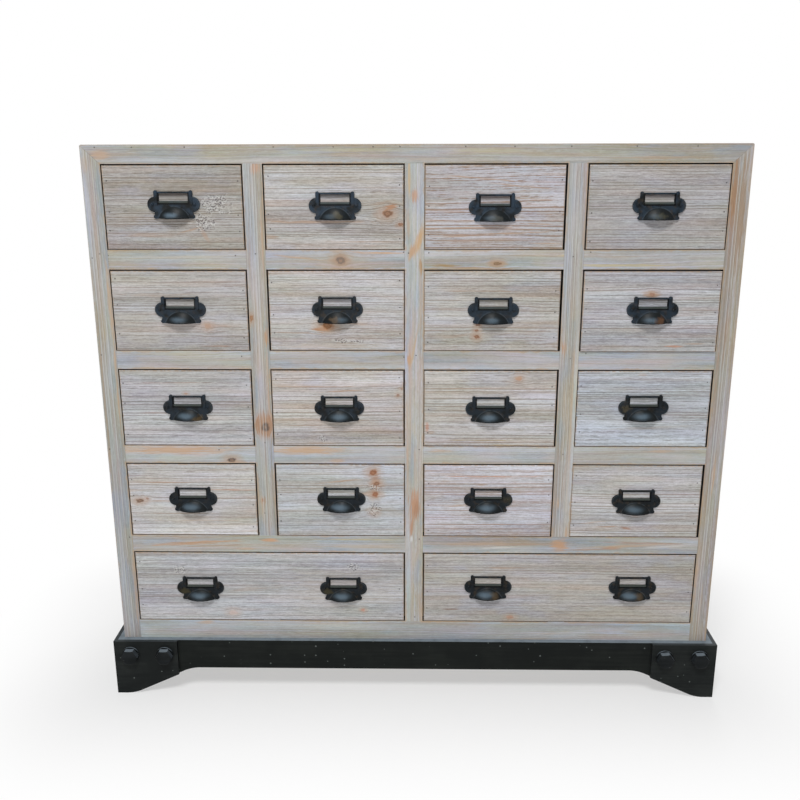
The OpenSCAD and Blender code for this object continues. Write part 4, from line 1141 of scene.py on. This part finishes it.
# %% Base paint, steel plates and bolts
black_paint = (colour(19, 22, 21), colour(28, 31, 29), 0.50)
plate_steel = (colour(23, 26, 26), colour(36, 39, 38), 0.46)
bolt_steel = (colour(17, 20, 21), colour(30, 33, 35), 0.36)
specular_on_black, paint_relief = 0.08, 0.0001
for name, (tone, worn_tone, rough), specks, dust_and_highlight in (
        ("base_front_skirt", black_paint, 0.8, 0.9), ("base_back_skirt", black_paint, 0.4, 0.9),
        ("base_side_skirts", black_paint, 0.5, 0.9), ("corner_plates", plate_steel, 0.8, 0.12),
        ("corner_bolts", bolt_steel, 0.2, 0.75)):
    material, place, shader = new_material(name + "_black")
    x, y, z = split(place)
    strokes = noise(join((x + y) * 9, y, z * 160), detail=3)
    clouds = noise(place, scale=14, detail=4, roughness=0.6)
    uneven = blend(fade(strokes * 0.4 + clouds * 0.6, 0.42, 0.66), tone, worn_tone)
    # Up-facing faces turn grey-blue: dust, and on the skirts' top ledge and the bolts' top facets a painted
    # highlight.
    dust = use(dust_highlight_group, Vector=place, Up=facing(place)[2], Specks=specks)
    dusty = blend(dust["Lying"] * dust_and_highlight, uneven, colour(130, 141, 150))
    linty = blend(dust["Lint"], dusty, colour(100, 106, 104))
    grain = noise(place, scale=600, detail=2)
    shader.inputs["Specular IOR Level"].default_value = specular_on_black
    surface(shader, linty, clouds * 0.2 + (rough - 0.1), grain + strokes, paint_relief)
    dress(name, material)
print("base dressed")

# %% [markdown]
# ## Floor, light and background
#
# The background is plain white. The world is white for the camera and for reflections, and an even
# soft grey for the light it gives. The floor is a pale sheet: close to the cabinet it takes a real
# shadow, and further out it turns to pure white, so that no horizon shows. The key lamp hangs high in
# front of the cabinet, so that each cup and frame throws a short shadow down. A weak lamp low in
# front fills the base, one over the top lights the upper edges, and one behind shows the back
# panel. Together they light the front so that a colour renders about as it is written.

# %% World
def seen_directly(tree):
    """One for rays from the camera and from reflections, and nought for those that light a surface."""
    rays = terms_of(tree.nodes.new("ShaderNodeLightPath").outputs)
    return larger(rays["Is Camera Ray"], larger(rays["Is Glossy Ray"], rays["Is Transmission Ray"]))


bpy.context.scene.view_settings.view_transform = "Standard"
world = bpy.data.worlds.new("studio")
bpy.context.scene.world = world
world.use_nodes = True
background = world.node_tree.nodes["Background"]
ambient = 0.19
feed(background.inputs["Strength"], seen_directly(world.node_tree) * (1.0 - ambient) + ambient)
background.inputs["Color"].default_value = (1, 1, 1, 1)
print("ambient light", ambient)

# %% Floor
bpy.ops.mesh.primitive_plane_add(size=30, location=(0, 0, 0))
floor = bpy.context.object
floor.name = "floor"
material, place, shader = new_material("pale_floor")
tree = material.node_tree
shader.inputs["Base Color"].default_value = (0.86, 0.86, 0.86, 1)
shader.inputs["Roughness"].default_value = 0.9
shader.inputs["Specular IOR Level"].default_value = 0.0
x, y, z = split(place)
shadow_half_width, shadow_half_depth, white_from = 0.58, 0.2, 0.34
out_x = larger(abs(x) - shadow_half_width, 0.0)
out_y = larger(abs(y) - shadow_half_depth, 0.0)
far = fade(distance(out_x, out_y), 0.0, white_from, 0.5, 1.0)
white = tree.nodes.new("ShaderNodeEmission")
white.inputs["Strength"].default_value = 1.0
mix = tree.nodes.new("ShaderNodeMixShader")
feed(mix.inputs[0], seen_directly(tree) * far)
tree.links.new(shader.outputs[0], mix.inputs[1])
tree.links.new(white.outputs[0], mix.inputs[2])
tree.links.new(mix.outputs[0], tree.nodes["Material Output"].inputs["Surface"])
floor.data.materials.append(material)
print("floor laid")


# %% Lamps
def soft_lamp(name, place, aim, width, height, power):
    """A rectangular lamp of so many metres and watts, turned towards its aim."""
    lamp_data = bpy.data.lights.new(name, "AREA")
    lamp_data.shape = "RECTANGLE"
    lamp_data.size, lamp_data.size_y = width, height
    lamp_data.energy = power
    lamp = bpy.data.objects.new(name, lamp_data)
    bpy.context.scene.collection.objects.link(lamp)
    lamp.location = place
    lamp.rotation_euler = (Vector(aim) - Vector(place)).to_track_quat("-Z", "Y").to_euler()
    return lamp


soft_lamp("key", (-0.4, -2.9, 4.4), (0, -0.1, 0.3), 1.7, 1.1, 155)
soft_lamp("fill", (-0.6, -3.0, 0.5), (0, -0.1, 0.3), 1.8, 0.9, 16)
soft_lamp("over", (0, 0.2, 2.9), (0, 0, 0.6), 1.8, 1.0, 12)
soft_lamp("behind", (0.5, 2.6, 1.6), (0, 0.2, 0.5), 2.0, 1.2, 34)
print("lamps hung")
